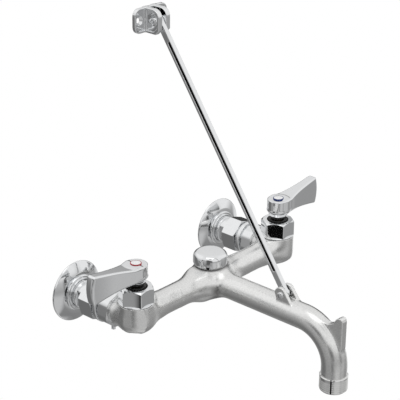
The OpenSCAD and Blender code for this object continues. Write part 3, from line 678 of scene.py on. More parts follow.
def open_tree(name: str, sizes: dict[str, str]) -> tuple[bpy.types.NodeTree, bpy.types.Node]:
    """Starts a Geometry Nodes tree with named inputs.

    Args:
        name: The tree's name.
        sizes: The kind of each input, Int or Float, by the input's name.

    Returns:
        The tree and the node that gives its inputs.
    """
    tree = bpy.data.node_groups.new(name, "GeometryNodeTree")
    tree.interface.new_socket("Geometry", in_out="INPUT", socket_type="NodeSocketGeometry")
    for size, kind in sizes.items():
        tree.interface.new_socket(size, in_out="INPUT", socket_type=f"NodeSocket{kind}")
    tree.interface.new_socket("Geometry", in_out="OUTPUT", socket_type="NodeSocketGeometry")
    return tree, add_node(tree, "NodeGroupInput")


def close_tree(tree: bpy.types.NodeTree, made: bpy.types.NodeSocket, finish: Finish) -> None:
    """Ends a Geometry Nodes tree: what it made becomes real mesh in one finish.

    Args:
        tree: The tree.
        made: The socket that gives what the tree made.
        finish: The finish.
    """
    real = add_node(tree, "GeometryNodeRealizeInstances", links={"Geometry": made})
    dressed = add_node(tree, "GeometryNodeSetMaterial", {"Material": finish.build()},
                       {"Geometry": real.outputs[0]})
    add_node(tree, "NodeGroupOutput", links={0: dressed.outputs[0]})


def run_tree(tree: bpy.types.NodeTree, part: bpy.types.Object, sizes: dict[str, float]) -> bpy.types.Object:
    """Runs a Geometry Nodes tree on a part and keeps the result as a plain mesh.

    Args:
        tree: The tree.
        part: The object that it runs on, which is used up.
        sizes: The values of the tree's inputs, by name.

    Returns:
        The new object, under the part's name.
    """
    modifier = part.modifiers.new(tree.name, "NODES")
    modifier.node_group = tree
    for socket in tree.interface.items_tree:
        if socket.name in sizes:
            modifier[socket.identifier] = sizes[socket.name]
    graph = bpy.context.evaluated_depsgraph_get()
    mesh = bpy.data.meshes.new_from_object(part.evaluated_get(graph))
    name = part.name
    bpy.data.objects.remove(part)
    return placed(name, mesh)


# The casting

@dataclass
class Casting:
    """The body: barrels, arms, their thick middle, the spout with its hook, and the ears of the brace."""

    arm_r: float = 12.15
    arm_end_r: float = 13.5
    arm_end_len: float = 38.0
    arm_z: float = 3.0
    arm_fillet: float = 8.0
    barrel_r: float = 16.5
    barrel_top: float = 16.3
    barrel_bottom: float = 11.2
    barrel_round: float = 9.5
    barrel_edge: float = 0.5
    barrel_fillet: float = 9.0
    barrel_clear: float = 5.0
    core_depth: float = 9.0
    spigot_r: float = 13.9
    spigot_y: float = -58.0
    spigot_edge: float = 1.2
    spigot_fillet: float = 6.0
    spout_r: float = 12.1
    spout_z: float = 4.0
    spout_y: float = -234.2
    spout_end: float = -44.0
    spout_fillet: float = 12.0
    bend_r: float = 38.0
    bore_r: float = 8.0
    bore_top: float = -20.0
    bore_edge: float = 0.6
    centre_r: float = 17.8
    cone_start: float = 15.0
    cone_len: float = 27.0
    cone_end_r: float = 6.15
    centre_reach: float = 44.0
    boss_r: float = 15.6
    boss_top: float = 17.6
    boss_edge: float = 0.8
    boss_fillet: float = 4.0
    shoulder_reach: float = 33.0
    shoulder_end_z: float = 13.4
    shoulder_edge: float = 0.9
    ear_near: float = 3.5
    ear_far: float = 7.3
    ear_r: float = 6.2
    ear_shift: float = 0.9
    ear_lift: float = 1.3
    ear_back: float = 13.5
    ear_sink: float = 3.0
    ear_fillet: float = 1.6
    hook_half: float = 3.7
    hook_y: float = -243.3
    hook_tip_rise: float = 14.4
    # Corners of the rounded tip, inwards from the outer face and up from the tip's height
    hook_tip: Outline = ((8.0, -2.6), (4.6, -0.2), (2.2, 0.0), (0.8, -1.2), (0.0, -3.4))
    hook_fillet: float = 2.2
    notch_depth: float = 9.6
    plate_edge: float = 0.8
    # Where painted shade darkens the casting: a band in the crotches between the arms and the spout, and a
    # ring round the boss's top under the cap
    crotch_width: float = 7.0
    crotch_fade: float = 4.0
    crotch_top: float = 10.0
    crotch_rise: float = 7.0
    rim_width: float = 2.3
    rim_drop: float = 5.0
    rim_rise: float = 2.5
    cell: float = 0.85

    def ear_outline(self) -> list[tuple[float, float]]:
        """Draws the ears' outline in y and z, round at the top about the brace's pin.

        Returns:
            The outline's corners.
        """
        pin = joint_place("brace_swing")
        back, foot = pin.y - self.ear_back, self.spout_z
        rounded = arc((pin.y + self.ear_shift, pin.z + self.ear_lift), self.ear_r, -30, 142, 14)
        return rounded + [(back, foot + self.spout_r - self.ear_sink), (back, foot), (pin.y + 1, foot)]

    def hook_outline(self) -> list[tuple[float, float]]:
        """Draws the pail hook's outline in y and z, whose foot lies within the spout's bend.

        Returns:
            The outline's corners.
        """
        tip = self.spout_z + self.hook_tip_rise
        notch = tip - self.notch_depth
        y, r, out = self.spout_y, self.bend_r, self.hook_y
        saddle = [(y + 0.4 * r, notch), (y + 0.18 * r, notch - 0.4),
                  (y + 0.5, notch + 0.3 * self.notch_depth)]
        foot = [(out, self.spout_z - 0.42 * r), (y, -r), (y + 0.4 * r, -0.5 * r)]
        return saddle + beside(out, tip, self.hook_tip) + foot

    def middle(self, p: Points) -> np.ndarray:
        """Distance to the thick middle of the arms, with the boss and its sloping shoulders.

        Args:
            p: Points.

        Returns:
            The distances.
        """
        valve, across = Side.COLD.valve, np.abs(p[:, 0])
        share = ease((across - self.cone_start) / self.cone_len)
        width = self.centre_r + (self.cone_end_r - self.centre_r) * share
        thick = np.hypot(p[:, 1] - valve.y, p[:, 2] - self.arm_z) - width
        thick = np.maximum(thick, across - self.centre_reach)
        fall = (self.boss_top - self.shoulder_end_z) / (self.shoulder_reach - self.boss_r)
        over = p[:, 2] - self.boss_top + fall * np.maximum(across - self.boss_r, 0)
        edge = self.shoulder_edge
        arms = both(thick + edge, over / math.hypot(1, fall) + edge) - edge
        boss = bar(p, (0, valve.y, self.arm_z), (0, valve.y, self.boss_top), self.boss_r, edge=self.boss_edge)
        return melt(arms, boss, self.boss_fillet)

    def spout(self, p: Points, radius: float) -> np.ndarray:
        """Distance to a round bar along the spout's route.

        Args:
            p: Points.
            radius: The bar's radius.

        Returns:
            The distances.
        """
        dy = self.spout_y + self.bend_r - p[:, 1]
        dz = p[:, 2] - (self.spout_z - self.bend_r)
        bend = np.hypot(np.maximum(dy, 0), np.maximum(dz, 0)) - self.bend_r
        route = np.where(dy <= 0, dz - self.bend_r, np.where(dz <= 0, dy - self.bend_r, bend))
        return np.hypot(p[:, 0], route) - radius

    def arms(self, p: Points) -> np.ndarray:
        """Distance to the two cross arms with their thick middle.

        Args:
            p: Points.

        Returns:
            The distances.
        """
        valve, across = Side.COLD.valve, np.abs(p[:, 0])
        start = valve.x - self.arm_end_len
        share = ease((across - start) / (valve.x - self.barrel_r - start))
        width = self.arm_r + (self.arm_end_r - self.arm_r) * share
        plain = np.maximum(np.hypot(p[:, 1] - valve.y, p[:, 2] - self.arm_z) - width, across - valve.x)
        return melt(plain, self.middle(p), self.arm_fillet)

    def folds(self, p: Points) -> np.ndarray:
        """How strongly painted shade darkens points in the casting's creases, from 0 to 1.

        Args:
            p: Points on the casting.

        Returns:
            The painted shade's strength: in the crotches between the arms and the spout, and round the boss's
            top.
        """
        arms, spout = self.arms(p), self.spout(p, self.spout_r)
        crotch = np.exp(-((arms - spout) / self.crotch_width) ** 2)
        crotch *= np.clip((arms + spout) / self.crotch_fade, 0, 1)
        crotch *= np.clip((self.crotch_top - p[:, 2]) / self.crotch_rise, 0, 1)
        rise = np.clip((p[:, 2] - self.boss_top + self.rim_drop) / self.rim_rise, 0, 1)
        out = np.maximum(np.hypot(p[:, 0], p[:, 1] - Side.COLD.valve.y) - self.boss_r, 0)
        return np.maximum(crotch, np.exp(-(out / self.rim_width) ** 2) * rise)

    def barrel(self, q: Points) -> np.ndarray:
        """Distance to one side's valve barrel, round underneath.

        Args:
            q: Points, folded onto the cold side.

        Returns:
            The distances.
        """
        valve, edge = Side.COLD.valve, self.barrel_edge
        radial = np.hypot(q[:, 0] - valve.x, q[:, 1] - valve.y)
        foot = self.barrel_round - self.barrel_bottom - q[:, 2]
        barrel = both(radial - self.barrel_r + self.barrel_round, foot) - self.barrel_round
        return both(barrel + edge, q[:, 2] - self.barrel_top + edge) - edge

    def solid(self, p: Points) -> np.ndarray:
        """Distance to the whole casting.

        Args:
            p: Points.

        Returns:
            The distances.
        """
        valve, q = Side.COLD.valve, mirrored(p)
        spigot = bar(q, (valve.x, self.spigot_y, 0), (valve.x, valve.y, 0), self.spigot_r,
                     edge=self.spigot_edge)
        solid = melt(melt(self.arms(p), self.barrel(q), self.barrel_fillet), spigot, self.spigot_fillet)
        # Nothing melts up past the barrels' flat tops, where the bonnet nuts sit. Elsewhere the cut lies so
        # deep in the metal that it shows nowhere.
        near = np.hypot(q[:, 0] - valve.x, q[:, 1] - valve.y) < self.barrel_r + self.barrel_clear
        solid = np.maximum(solid, np.where(near, p[:, 2] - self.barrel_top, -self.core_depth))
        spout = both(self.spout(p, self.spout_r), p[:, 1] - valve.y, self.spout_end - p[:, 2])
        solid = melt(solid, spout, self.spout_fillet)
        ear = slab(q, self.ear_outline(), self.ear_near, self.ear_far, self.plate_edge)
        hook = slab(p, self.hook_outline(), -self.hook_half, self.hook_half, self.plate_edge)
        solid = melt(melt(solid, ear, self.ear_fillet), hook, self.hook_fillet)
        bore = both(self.spout(p, self.bore_r), p[:, 2] - self.bore_top)
        return carve(solid, bore, self.bore_edge)

    def build(self) -> None:
        """Makes the casting in place of its node."""
        margin = 3 * self.cell
        form = grown(self.solid, room_of("faucet_body", margin, margin), self.cell)
        casting = make_mesh("casting", form, [CAST_CHROME])
        # Painted shade for the creases, kept on the mesh for the finish to darken by
        fold_shade_layer = casting.data.attributes.new(FOLD_SHADE_ATTRIBUTE, "FLOAT", "POINT")
        fold_shade_layer.data.foreach_set("value", self.folds(form.corners))
        seat(casting, "faucet", "cast_chrome", "faucet_body")


@dataclass
class Outlet:
    """The hose collar at the spout's end, with its thread and the slot down one side."""

    radius: float = 13.3
    bore_r: float = 7.9
    length: float = 15.6
    lip: float = 0.6
    bevel: float = 0.9
    band: float = 2.0
    # The band's top edge from its rim, and the seat under the spout's end
    band_edge: Outline = ((0.0, -0.5), (-0.5, 0.0))
    seat_in: float = 0.6
    seat_rise: float = 0.2
    steps: int = 225
    pitch: float = 2.1
    depth: float = 0.52
    run_out: float = 4.2
    thread_start: float = 1.1
    turn_steps: int = 120
    ridge_sides: int = 8
    slot_deg: float = 206.0
    slot_half: float = 2.6
    slot_depth: float = 1.6
    slot_wall: float = 0.5
    thread_gap: float = 1.0

    def beside_slot(self, x: np.ndarray, y: np.ndarray) -> np.ndarray:
        """How many degrees points lie from the slot's middle, round the collar."""
        return np.abs((np.degrees(np.arctan2(y, x)) - self.slot_deg + 180) % 360 - 180)

    def thread_tree(self) -> bpy.types.NodeTree:
        """Builds the tree that sweeps a ridge along a helix.

        Returns:
            The tree, whose inputs are named for the thread's sizes.
        """
        tree, given = open_tree("hose_thread", dict.fromkeys(("Radius", "Height", "Turns", "Ridge"), "Float"))
        helix = add_node(tree, "GeometryNodeCurveSpiral", {"Resolution": self.turn_steps}, {
            "Rotations": given.outputs["Turns"], "Start Radius": given.outputs["Radius"],
            "End Radius": given.outputs["Radius"], "Height": given.outputs["Height"]})
        ridge = add_node(tree, "GeometryNodeCurvePrimitiveCircle", {"Resolution": self.ridge_sides}, {
            "Radius": given.outputs["Ridge"]})
        swept = add_node(tree, "GeometryNodeCurveToMesh", {"Fill Caps": True}, {
            "Curve": helix.outputs["Curve"], "Profile Curve": ridge.outputs["Curve"]})
        close_tree(tree, swept.outputs[0], TURNED_CHROME)
        return tree

    def slit(self, thread: bpy.types.Object) -> None:
        """Cuts the collar's slot through the thread and closes the cut ends.

        Args:
            thread: The thread, about its own axis.
        """
        work = bmesh.new()
        work.from_mesh(thread.data)
        middles = [face.calc_center_median() for face in work.faces]
        off = self.beside_slot(np.array([m.x for m in middles]), np.array([m.y for m in middles]))
        gone = [face for face, degrees in zip(work.faces, off) if degrees < self.slot_half + self.thread_gap]
        bmesh.ops.delete(work, geom=gone, context="FACES")
        open_edges = [e for e in work.edges if e.is_boundary]
        bmesh.ops.holes_fill(work, edges=open_edges, sides=self.ridge_sides + 4)
        bmesh.ops.recalc_face_normals(work, faces=work.faces)
        work.to_mesh(thread.data)
        work.free()

    def build(self, casting: Casting) -> None:
        """Makes the collar and its thread.

        Args:
            casting: The casting whose spout carries it.
        """
        low, _ = room_of("faucet_body", 0, 0)
        place = Matrix.Translation((0, casting.spout_y, low[2]))
        r, core, top, bore = self.radius, self.radius - self.depth, self.length, self.bore_r
        lip, bevel, band = self.lip, self.bevel, self.band
        profile = [(bore, lip), (bore + lip, 0), (core - bevel, 0), (core, bevel), (core, top - band - 0.4),
                   (r, top - band)] + beside(r, top, self.band_edge)
        profile += [(casting.spout_r - self.seat_in, top + self.seat_rise), (bore, top - 1.0)]
        outline = circle(r + 1, self.steps)
        in_slot = self.beside_slot(outline[:, 0], outline[:, 1]) < self.slot_half
        outline[in_slot] *= (r - self.slot_depth) / (r + 1)
        form = turned(profile, outline)
        middles = form.middles
        # Painted shade: the slot's faces and its walls get the near-black plate
        shade_faces = self.beside_slot(middles[:, 0], middles[:, 1]) < self.slot_half + self.slot_wall
        form.tags = shade_faces.astype(int).tolist()
        collar = make_mesh("outlet_collar", form, [TURNED_CHROME, SHADE_PAINTED_PLATE])
        shift(collar, place)
        seat(collar, "faucet", "cast_chrome")
        run = top - self.run_out
        thread = run_tree(self.thread_tree(), placed("outlet_thread", bpy.data.meshes.new("thread_seed")), {
            "Radius": core * MM, "Height": run * MM, "Turns": run / self.pitch, "Ridge": self.depth * MM})
        self.slit(thread)
        shift(thread, place @ Matrix.Translation((0, 0, self.thread_start)))
        thread.data.polygons.foreach_set("use_smooth", [True] * len(thread.data.polygons))
        seat(thread, "faucet", "cast_chrome")


# The inlets

@dataclass
class Inlet:
    """One side's wall flange, shank, coupling nut and stop body, from the wall out to the casting."""

    side: Side
    flange_r: float = 30.2
    flange_edge: float = 1.4
    flange_rim: float = 0.7
    flange_h: float = 8.3
    dome_r: float = 20.8
    dome_h: float = 6.0
    neck_r: float = 14.5
    neck_inner_r: float = 13.4
    # The neck's lip, from the neck's radius and the flange's height
    neck_lip: Outline = ((0.2, 0.9), (-0.4, 0.9), (-1.1, 0.2))
    cove_r: float = 0.7
    bead_r: float = 1.5
    sheet: float = 2.4
    shank_r: float = 13.25
    shank_flats: float = 21.6
    # The groove beside the flange, from the shank's radius and the collar's start
    shank_groove: Outline = ((0.0, -0.6), (-0.7, -0.3), (-0.7, 0.1))
    ring_rise: float = 0.35
    ring_round: float = 1.3
    ring_len: float = 1.4
    flats_start: float = 12.0
    nut_start: float = 21.0
    nut_len: float = 17.0
    nut_flats: float = 32.0
    nut_turn: float = 42.6
    nut_bevel: float = 1.2
    nut_round: float = 0.6
    crown: float = 0.05
    play: float = 0.1
    union_r: float = 14.2
    union_start: float = 26.0
    collar_start: float = 40.0
    collar_r: float = 17.0
    collar_round: float = 0.9
    groove_start: float = 44.5
    groove_r: float = 13.7
    groove_cove: Outline = ((0.5, 0.1), (0.0, 0.6))
    hex_start: float = 47.0
    hex_end: float = 58.2
    hex_turn: float = 21.5
    hex_bevel: float = 0.5
    hex_round: float = 0.8
    bore_r: float = 7.5

    @property
    def place(self) -> Matrix:
        """The inlet's own frame: z runs from the wall into the room, and y upwards."""
        axes = Matrix(((1, 0, 0), (0, 0, -1), (0, 1, 0))).to_4x4()
        return Matrix.Translation((self.side.valve.x, 0, 0)) @ axes

    def flange(self) -> Form:
        """Draws the pressed flange: a rolled rim, a shallow dome, a bead and a short neck, open at the back.

        Returns:
            The form, in the inlet's own frame.
        """
        r, edge, rim, h = self.flange_r, self.flange_edge, self.flange_rim, self.dome_h
        neck, bead, top = self.neck_r, self.bead_r, self.flange_h
        dome_z = (r ** 2 + edge ** 2 - self.dome_r ** 2 - h ** 2) / (2 * (edge - h))
        sphere = math.hypot(r, edge - dome_z)
        start = math.degrees(math.asin((edge - dome_z) / sphere))
        end = math.degrees(math.asin((h - dome_z) / sphere))
        profile = [(r - 2 * rim, 0.0), (r - 0.3, 0.0)] + arc((r - rim, rim), rim, -50, 40, 5)
        profile += arc((0, dome_z), sphere, start + 0.6, end, 16)
        profile += [(neck + 2.6, h + 0.3)]
        profile += arc((neck + bead + 0.4, top - bead), bead, 12, 92, 8)
        profile += arc((neck + 1.0, top + 0.4), self.cove_r, 250, 180, 4) + beside(neck, top, self.neck_lip)
        profile += [(self.neck_inner_r, 2.0), (self.dome_r, h - self.sheet)]
        return turned(profile)

    def shank(self) -> Form:
        """Draws the shank: a neck with a groove and a round collar, then two wrench flats under the nut.

        Returns:
            The form, in the inlet's own frame.
        """
        r, start, end = self.shank_r, self.flange_h + 1.6, self.flats_start + self.ring_len
        bend, middle = self.ring_round, r + self.ring_rise - self.ring_round
        neck = turned([(self.bore_r, 0.0), (r, 0.0)] + beside(r, start, self.shank_groove)
                      + arc((middle, start + self.ring_len), bend, -60, 0, 5)
                      + arc((middle, end - bend), bend, 0, 60, 5) + [(self.bore_r, end)])
        outline = circle(r)
        outline[:, 0] = np.clip(outline[:, 0], -self.shank_flats / 2, self.shank_flats / 2)
        low, high = self.flats_start - 0.5, self.nut_start + 1
        flats = turned([(self.bore_r, low), (r, low), (r, high), (self.bore_r, high)], outline)
        return Form.joined([neck, flats])

    def nut(self) -> Form:
        """Draws the coupling nut, bevelled at both ends.

        Returns:
            The form, in the inlet's own frame.
        """
        near, far, b = self.nut_start, self.nut_start + self.nut_len, self.nut_bevel
        corner = self.nut_flats / 2 / math.cos(math.pi / 6)
        wide, face = corner + 0.2, corner - 2 * b
        return turned([(self.shank_r + self.play, near), (face, near), (wide, near + b), (wide, far - b),
                       (face, far), (self.union_r + self.play, far)],
                      hexagon(self.nut_flats, self.nut_round, self.crown, self.nut_turn))

    def stop_body(self) -> Form:
        """Draws the tailpiece: union end, collar, groove and hexagon.

        Returns:
            The form, in the inlet's own frame.
        """
        r, bore, bend, b = self.collar_r, self.bore_r, self.collar_round, self.hex_bevel
        start, end, low, high = self.collar_start, self.groove_start, self.hex_start, self.hex_end
        near, union = self.union_start, self.union_r
        round_part = turned([(bore, near), (union, near), (union, start), (r - bend, start)]
                            + arc((r - bend, start + bend), bend, -70, 0, 4)
                            + arc((r - bend, end - bend), bend, 0, 80, 4)
                            + beside(self.groove_r, end, self.groove_cove)
                            + [(self.groove_r, low + 1), (bore, low + 1)])
        outline = hexagon(self.nut_flats, self.hex_round, self.crown, self.hex_turn, r)
        hex_part = turned([(bore, low), (r - b, low), (r + b, low + b), (r + b, high - b), (r - b, high),
                           (bore, high)], outline)
        return Form.joined([round_part, hex_part])

    def build(self) -> None:
        """Makes the inlet's visible pieces, each in place of its node."""
        word = self.side.word
        for name, form, node in (("wall_flange", self.flange(), "flange"),
                                 ("shank", self.shank(), "supply_shank"),
                                 ("union_nut", self.nut(), "coupling_nut"),
                                 ("stop_tailpiece", self.stop_body(), "stop_body")):
            piece = make_mesh(f"{word}_{name}", form.moved(self.place), [POLISHED_CHROME])
            seat(piece, "faucet", "polished_chrome", f"{word}_{node}")


# The valves

@dataclass
class Valve:
    """One side's bonnet nut, splined cartridge collar, lever handle and index button."""

    side: Side
    nut_bottom: float = 16.3
    nut_top: float = 33.0
    nut_corner_r: float = 17.0
    nut_chamfer: float = 2.1
    nut_face_r: float = 14.5
    nut_wide: float = 0.3
    nut_round: float = 0.5
    nut_crown: float = 0.07
    nut_start: float = 1.2
    hole_bevel: float = 0.5
    # The ring under the nut, from its radius and the nut's bottom
    foot_ring_r: float = 16.7
    foot_ring: Outline = ((-1.3, 0.0), (-1.3, 0.6), (0.0, 0.7), (0.0, 1.3), (-0.4, 1.6))
    stem_hole_r: float = 4.1
    collar_bevel: float = 0.3
    collar_r: float = 10.3
    collar_top: float = 34.2
    splines: int = 24
    spline_depth: float = 0.7
    spline_h: float = 3.2
    spline_share: float = 0.42
    spline_taper: float = 0.75
    hub_r: float = 11.0
    hub_top: float = 55.4
    hub_side: float = 11.5
    hub_bottom: float = 34.7
    hub_edge: float = 1.0
    foot_r: float = 5.8
    foot_fillet: float = 2.0
    bowl_inset: float = 0.4
    bowl_slant: float = 1.4
    lever_len: float = 58.8
    lever_rise: float = 8.2
    lever_turn: float = 0.2
    lever_corner: float = 2.6
    lever_edge: float = 1.9
    lever_fillet: float = 2.2
    tip_half: float = 4.1
    tip_bulge_r: float = 38.0
    tip_depth: float = 29.8
    root_depth: float = 14.2
    drop_power: float = 1.6
    waist: float = 20.0
    waist_power: float = 2.2
    button_r: float = 5.3
    button_h: float = 3.7
    wall_h: float = 1.2
    wall_round: float = 0.3
    # The step down from the wall to the disc, from the disc's radius and the wall's rim
    disc_step: Outline = ((0.1, 0.0), (0.0, -0.1))
    disc_rise: float = 0.05
    disc_steps: tuple[float, ...] = (0.97, 0.8, 0.6, 0.4, 0.2, 0.0)
    disc_r: float = 4.6
    disc_crown: float = 0.45
    cell: float = 0.55

    @property
    def place(self) -> Matrix:
        """The valve's own frame, upright on its axis."""
        return Matrix.Translation(self.side.valve)

    def bonnet_nut(self) -> Form:
        """Draws the hexagonal nut, chamfered at its top, on its foot ring.

        Returns:
            The form, in the valve's own frame.
        """
        flats = 2 * self.nut_corner_r * math.cos(math.pi / 6)
        hole, wide, top = self.collar_r + 0.1, self.nut_corner_r + self.nut_wide, self.nut_top
        low, start, bevel = self.nut_bottom, self.nut_bottom + self.nut_start, self.hole_bevel
        profile = [(hole, start), (wide, start), (wide, top - self.nut_chamfer)]
        profile += arc((self.nut_face_r, top - 1.0), 1.0, 55, 90, 4)
        profile += [(hole + bevel, top), (hole, top - bevel)]
        ring = beside(self.foot_ring_r, low, self.foot_ring)
        foot = turned([(hole, low)] + ring + [(hole, ring[-1][1])])
        return Form.joined([turned(profile, hexagon(flats, self.nut_round, self.nut_crown)), foot])

    def handle_field(self, p: Points) -> np.ndarray:
        """Distance to the forged handle: a hub on a tapered foot, with a deepening lever blade.

        Args:
            p: Points.

        Returns:
            The distances.
        """
        valve = self.side.valve
        turn = math.radians(self.lever_turn)
        out, back = self.side.value * (p[:, 0] - valve.x), p[:, 1] - valve.y
        x = out * math.cos(turn) + back * math.sin(turn)
        y = back * math.cos(turn) - out * math.sin(turn)
        z = p[:, 2]
        hub_r, hub_top, under = self.hub_r, self.hub_top, self.hub_top - self.hub_side
        hub = bar(np.column_stack([x, y, z]), (0, 0, under - 1), (0, 0, hub_top), hub_r, edge=self.hub_edge)
        rise = np.clip((z - self.hub_bottom) / (under - self.hub_bottom), 0, 1)
        bowl = self.foot_r + (hub_r - self.bowl_inset - self.foot_r) * np.sqrt(rise)
        foot = both((np.hypot(x, y) - bowl) / self.bowl_slant, self.hub_bottom - z, z - under)
        # The blade narrows from the hub to a waist, and its underside falls towards a bulging tip
        half = self.tip_half + (hub_r - self.tip_half) / (1 + np.abs(x / self.waist) ** self.waist_power)
        tip = hub_top + self.lever_rise
        top = hub_top + self.lever_rise * np.clip((x - hub_r) / (self.lever_len - hub_r), 0, 1.2)
        root = hub_top - self.root_depth
        low = root - (root - (tip - self.tip_depth)) * np.clip(x / self.lever_len, 0, 1.2) ** self.drop_power
        end = self.lever_len - (z - (tip - self.tip_depth / 2)) ** 2 / (2 * self.tip_bulge_r)
        corner, edge = self.lever_corner, self.lever_edge
        plan = both(np.abs(y) - half + corner, np.maximum(x - end, -x) + corner) - corner
        blade = both(plan + edge, np.maximum(z - top, low - z) + edge) - edge
        return melt(melt(hub, foot, self.foot_fillet), blade, self.lever_fillet)

    def spline_ring(self, start: float) -> bpy.types.Object:
        """Repeats one spline evenly round the valve's axis, by a Geometry Nodes tree.

        Args:
            start: Height of the splines' lower end.

        Returns:
            A plain mesh object with all the splines.
        """
        r, core = self.collar_r, self.collar_r - self.spline_depth
        half = math.pi * r / self.splines * self.spline_share
        corners = np.array([(x, y, z) for x in (core - 0.2, r) for y in (-half, half)
                            for z in (start, self.collar_top - 0.15)])
        corners[4:, 1] *= self.spline_taper
        faces = [(0, 1, 3, 2), (4, 6, 7, 5), (0, 4, 5, 1), (2, 3, 7, 6), (0, 2, 6, 4), (1, 5, 7, 3)]
        spline = make_mesh(f"{self.side.word}_splines", Form(corners, faces), [BLACK_NYLON])
        tree, given = open_tree("spline_ring", {"Count": "Int"})
        spots = add_node(tree, "GeometryNodeMeshLine", {"Offset": (0.0, 0.0, 0.0)},
                         {"Count": given.outputs["Count"]})
        index = add_node(tree, "GeometryNodeInputIndex")
        share = add_node(tree, "ShaderNodeMath", links={0: index.outputs[0], 1: given.outputs["Count"]},
                         operation="DIVIDE")
        angle = add_node(tree, "ShaderNodeMath", {1: 2 * math.pi}, {0: share.outputs[0]},
                         operation="MULTIPLY")
        turn = add_node(tree, "ShaderNodeCombineXYZ", links={"Z": angle.outputs[0]})
        copies = add_node(tree, "GeometryNodeInstanceOnPoints", links={
            "Points": spots.outputs["Mesh"], "Instance": given.outputs["Geometry"],
            "Rotation": turn.outputs[0]})
        close_tree(tree, copies.outputs[0], BLACK_NYLON)
        return run_tree(tree, spline, {"Count": self.splines})

    def collar(self) -> None:
        """Makes the cartridge's black collar and the splines round it."""
        r, top, hole = self.collar_r, self.collar_top, self.stem_hole_r
        core, start = r - self.spline_depth, top - self.spline_h
        ring = turned([(hole, self.nut_bottom), (r, self.nut_bottom), (r, start), (core, start + 0.2),
                       (core, top - self.collar_bevel), (core - self.collar_bevel, top), (hole, top)])
        body = make_mesh(f"{self.side.word}_collar", ring, [BLACK_NYLON])
        splines = self.spline_ring(start)
        for piece in (body, splines):
            shift(piece, self.place)
        seat(body, "faucet", "black_plastic", f"{self.side.word}_cartridge")
        seat(splines, "faucet", "black_plastic")

    def button(self) -> Form:
        """Draws the index button: a low white dome inside a coloured wall.

        Returns:
            The form, in the valve's own frame, with tag 1 on the wall.
        """
        r, inner, bend, rim = self.button_r, self.disc_r, self.wall_round, self.hub_top + self.wall_h
        profile = [(r, rim - self.button_h), (r, rim - bend)] + arc((r - bend, rim - bend), bend, 0, 90, 3)
        profile += beside(inner, rim, self.disc_step)
        wall_rows, edge = len(profile) - 1, rim + self.disc_rise
        profile += [(s * inner, edge + self.disc_crown * (1 - s * s)) for s in self.disc_steps]
        form = turned(profile, closed=False)
        per_row = len(form.faces) // (len(profile) - 1)
        form.tags = [int(i < wall_rows * per_row) for i in range(len(form.faces))]
        return form

    def build(self) -> None:
        """Makes the valve's visible pieces."""
        word, ring = self.side.word, RED_ENAMEL if self.side is Side.HOT else BLUE_ENAMEL
        nut = make_mesh(f"{word}_bonnet", self.bonnet_nut().moved(self.place), [POLISHED_CHROME])
        seat(nut, "faucet", "polished_chrome", f"{word}_bonnet_nut")
        self.collar()
        margin = 3 * self.cell
        form = grown(self.handle_field, room_of(f"{word}_handle", margin, margin + 4), self.cell)
        lever = make_mesh(f"{word}_lever", form, [POLISHED_CHROME])
        seat(lever, f"{word}_valve", "polished_chrome", f"{word}_handle")
        disc = make_mesh(f"{word}_index", self.button().moved(self.place), [WHITE_ENAMEL, ring])
        seat(disc, f"{word}_valve", f"{word}_index", f"{word}_index_button")


# The vacuum breaker

@dataclass
class VacuumBreaker:
    """The cap over the casting's middle: a turned dome with six wrench flats."""

    cap_r: float = 16.7
    cap_flats: float = 30.7
    cap_turn: float = 3.0
    cap_crown: float = 0.55
    cap_corner: float = 0.4
    cap_h: float = 15.3
    cap_round: float = 5.6
    dome_rise: float = 0.3
    foot_round: float = 4.0
    foot_in: float = 2.0
    hollow_r: float = 9.0
    skirt: float = 0.4
    neck_in: float = 1.4
    neck_gap: float = 0.9

    def build(self, casting: Casting) -> None:
        """Makes the cap in place of its node.

        Args:
            casting: The casting whose boss carries it.
        """
        r, h, low, foot, bend = self.cap_r, self.cap_h, self.neck_gap, self.foot_round, self.cap_round
        neck = casting.boss_r - self.neck_in
        profile = [(self.hollow_r, -self.skirt), (neck, -self.skirt), (neck, low), (r - self.foot_in, low)]
        profile += arc((r - foot, low + foot), foot, -52, 0, 8)
        profile += arc((r - bend, h - bend), bend, 0, 90, 16) + [(0.0, h + self.dome_rise)]
        outline = hexagon(self.cap_flats, self.cap_corner, self.cap_crown, self.cap_turn, r)
        form = turned(profile, outline, closed=False)
        place = Matrix.Translation((0, Side.COLD.valve.y, casting.boss_top))
        cap = make_mesh("vacuum_cap", form.moved(place), [POLISHED_CHROME])
        seat(cap, "faucet", "polished_chrome", "breaker_cap")


# The brace

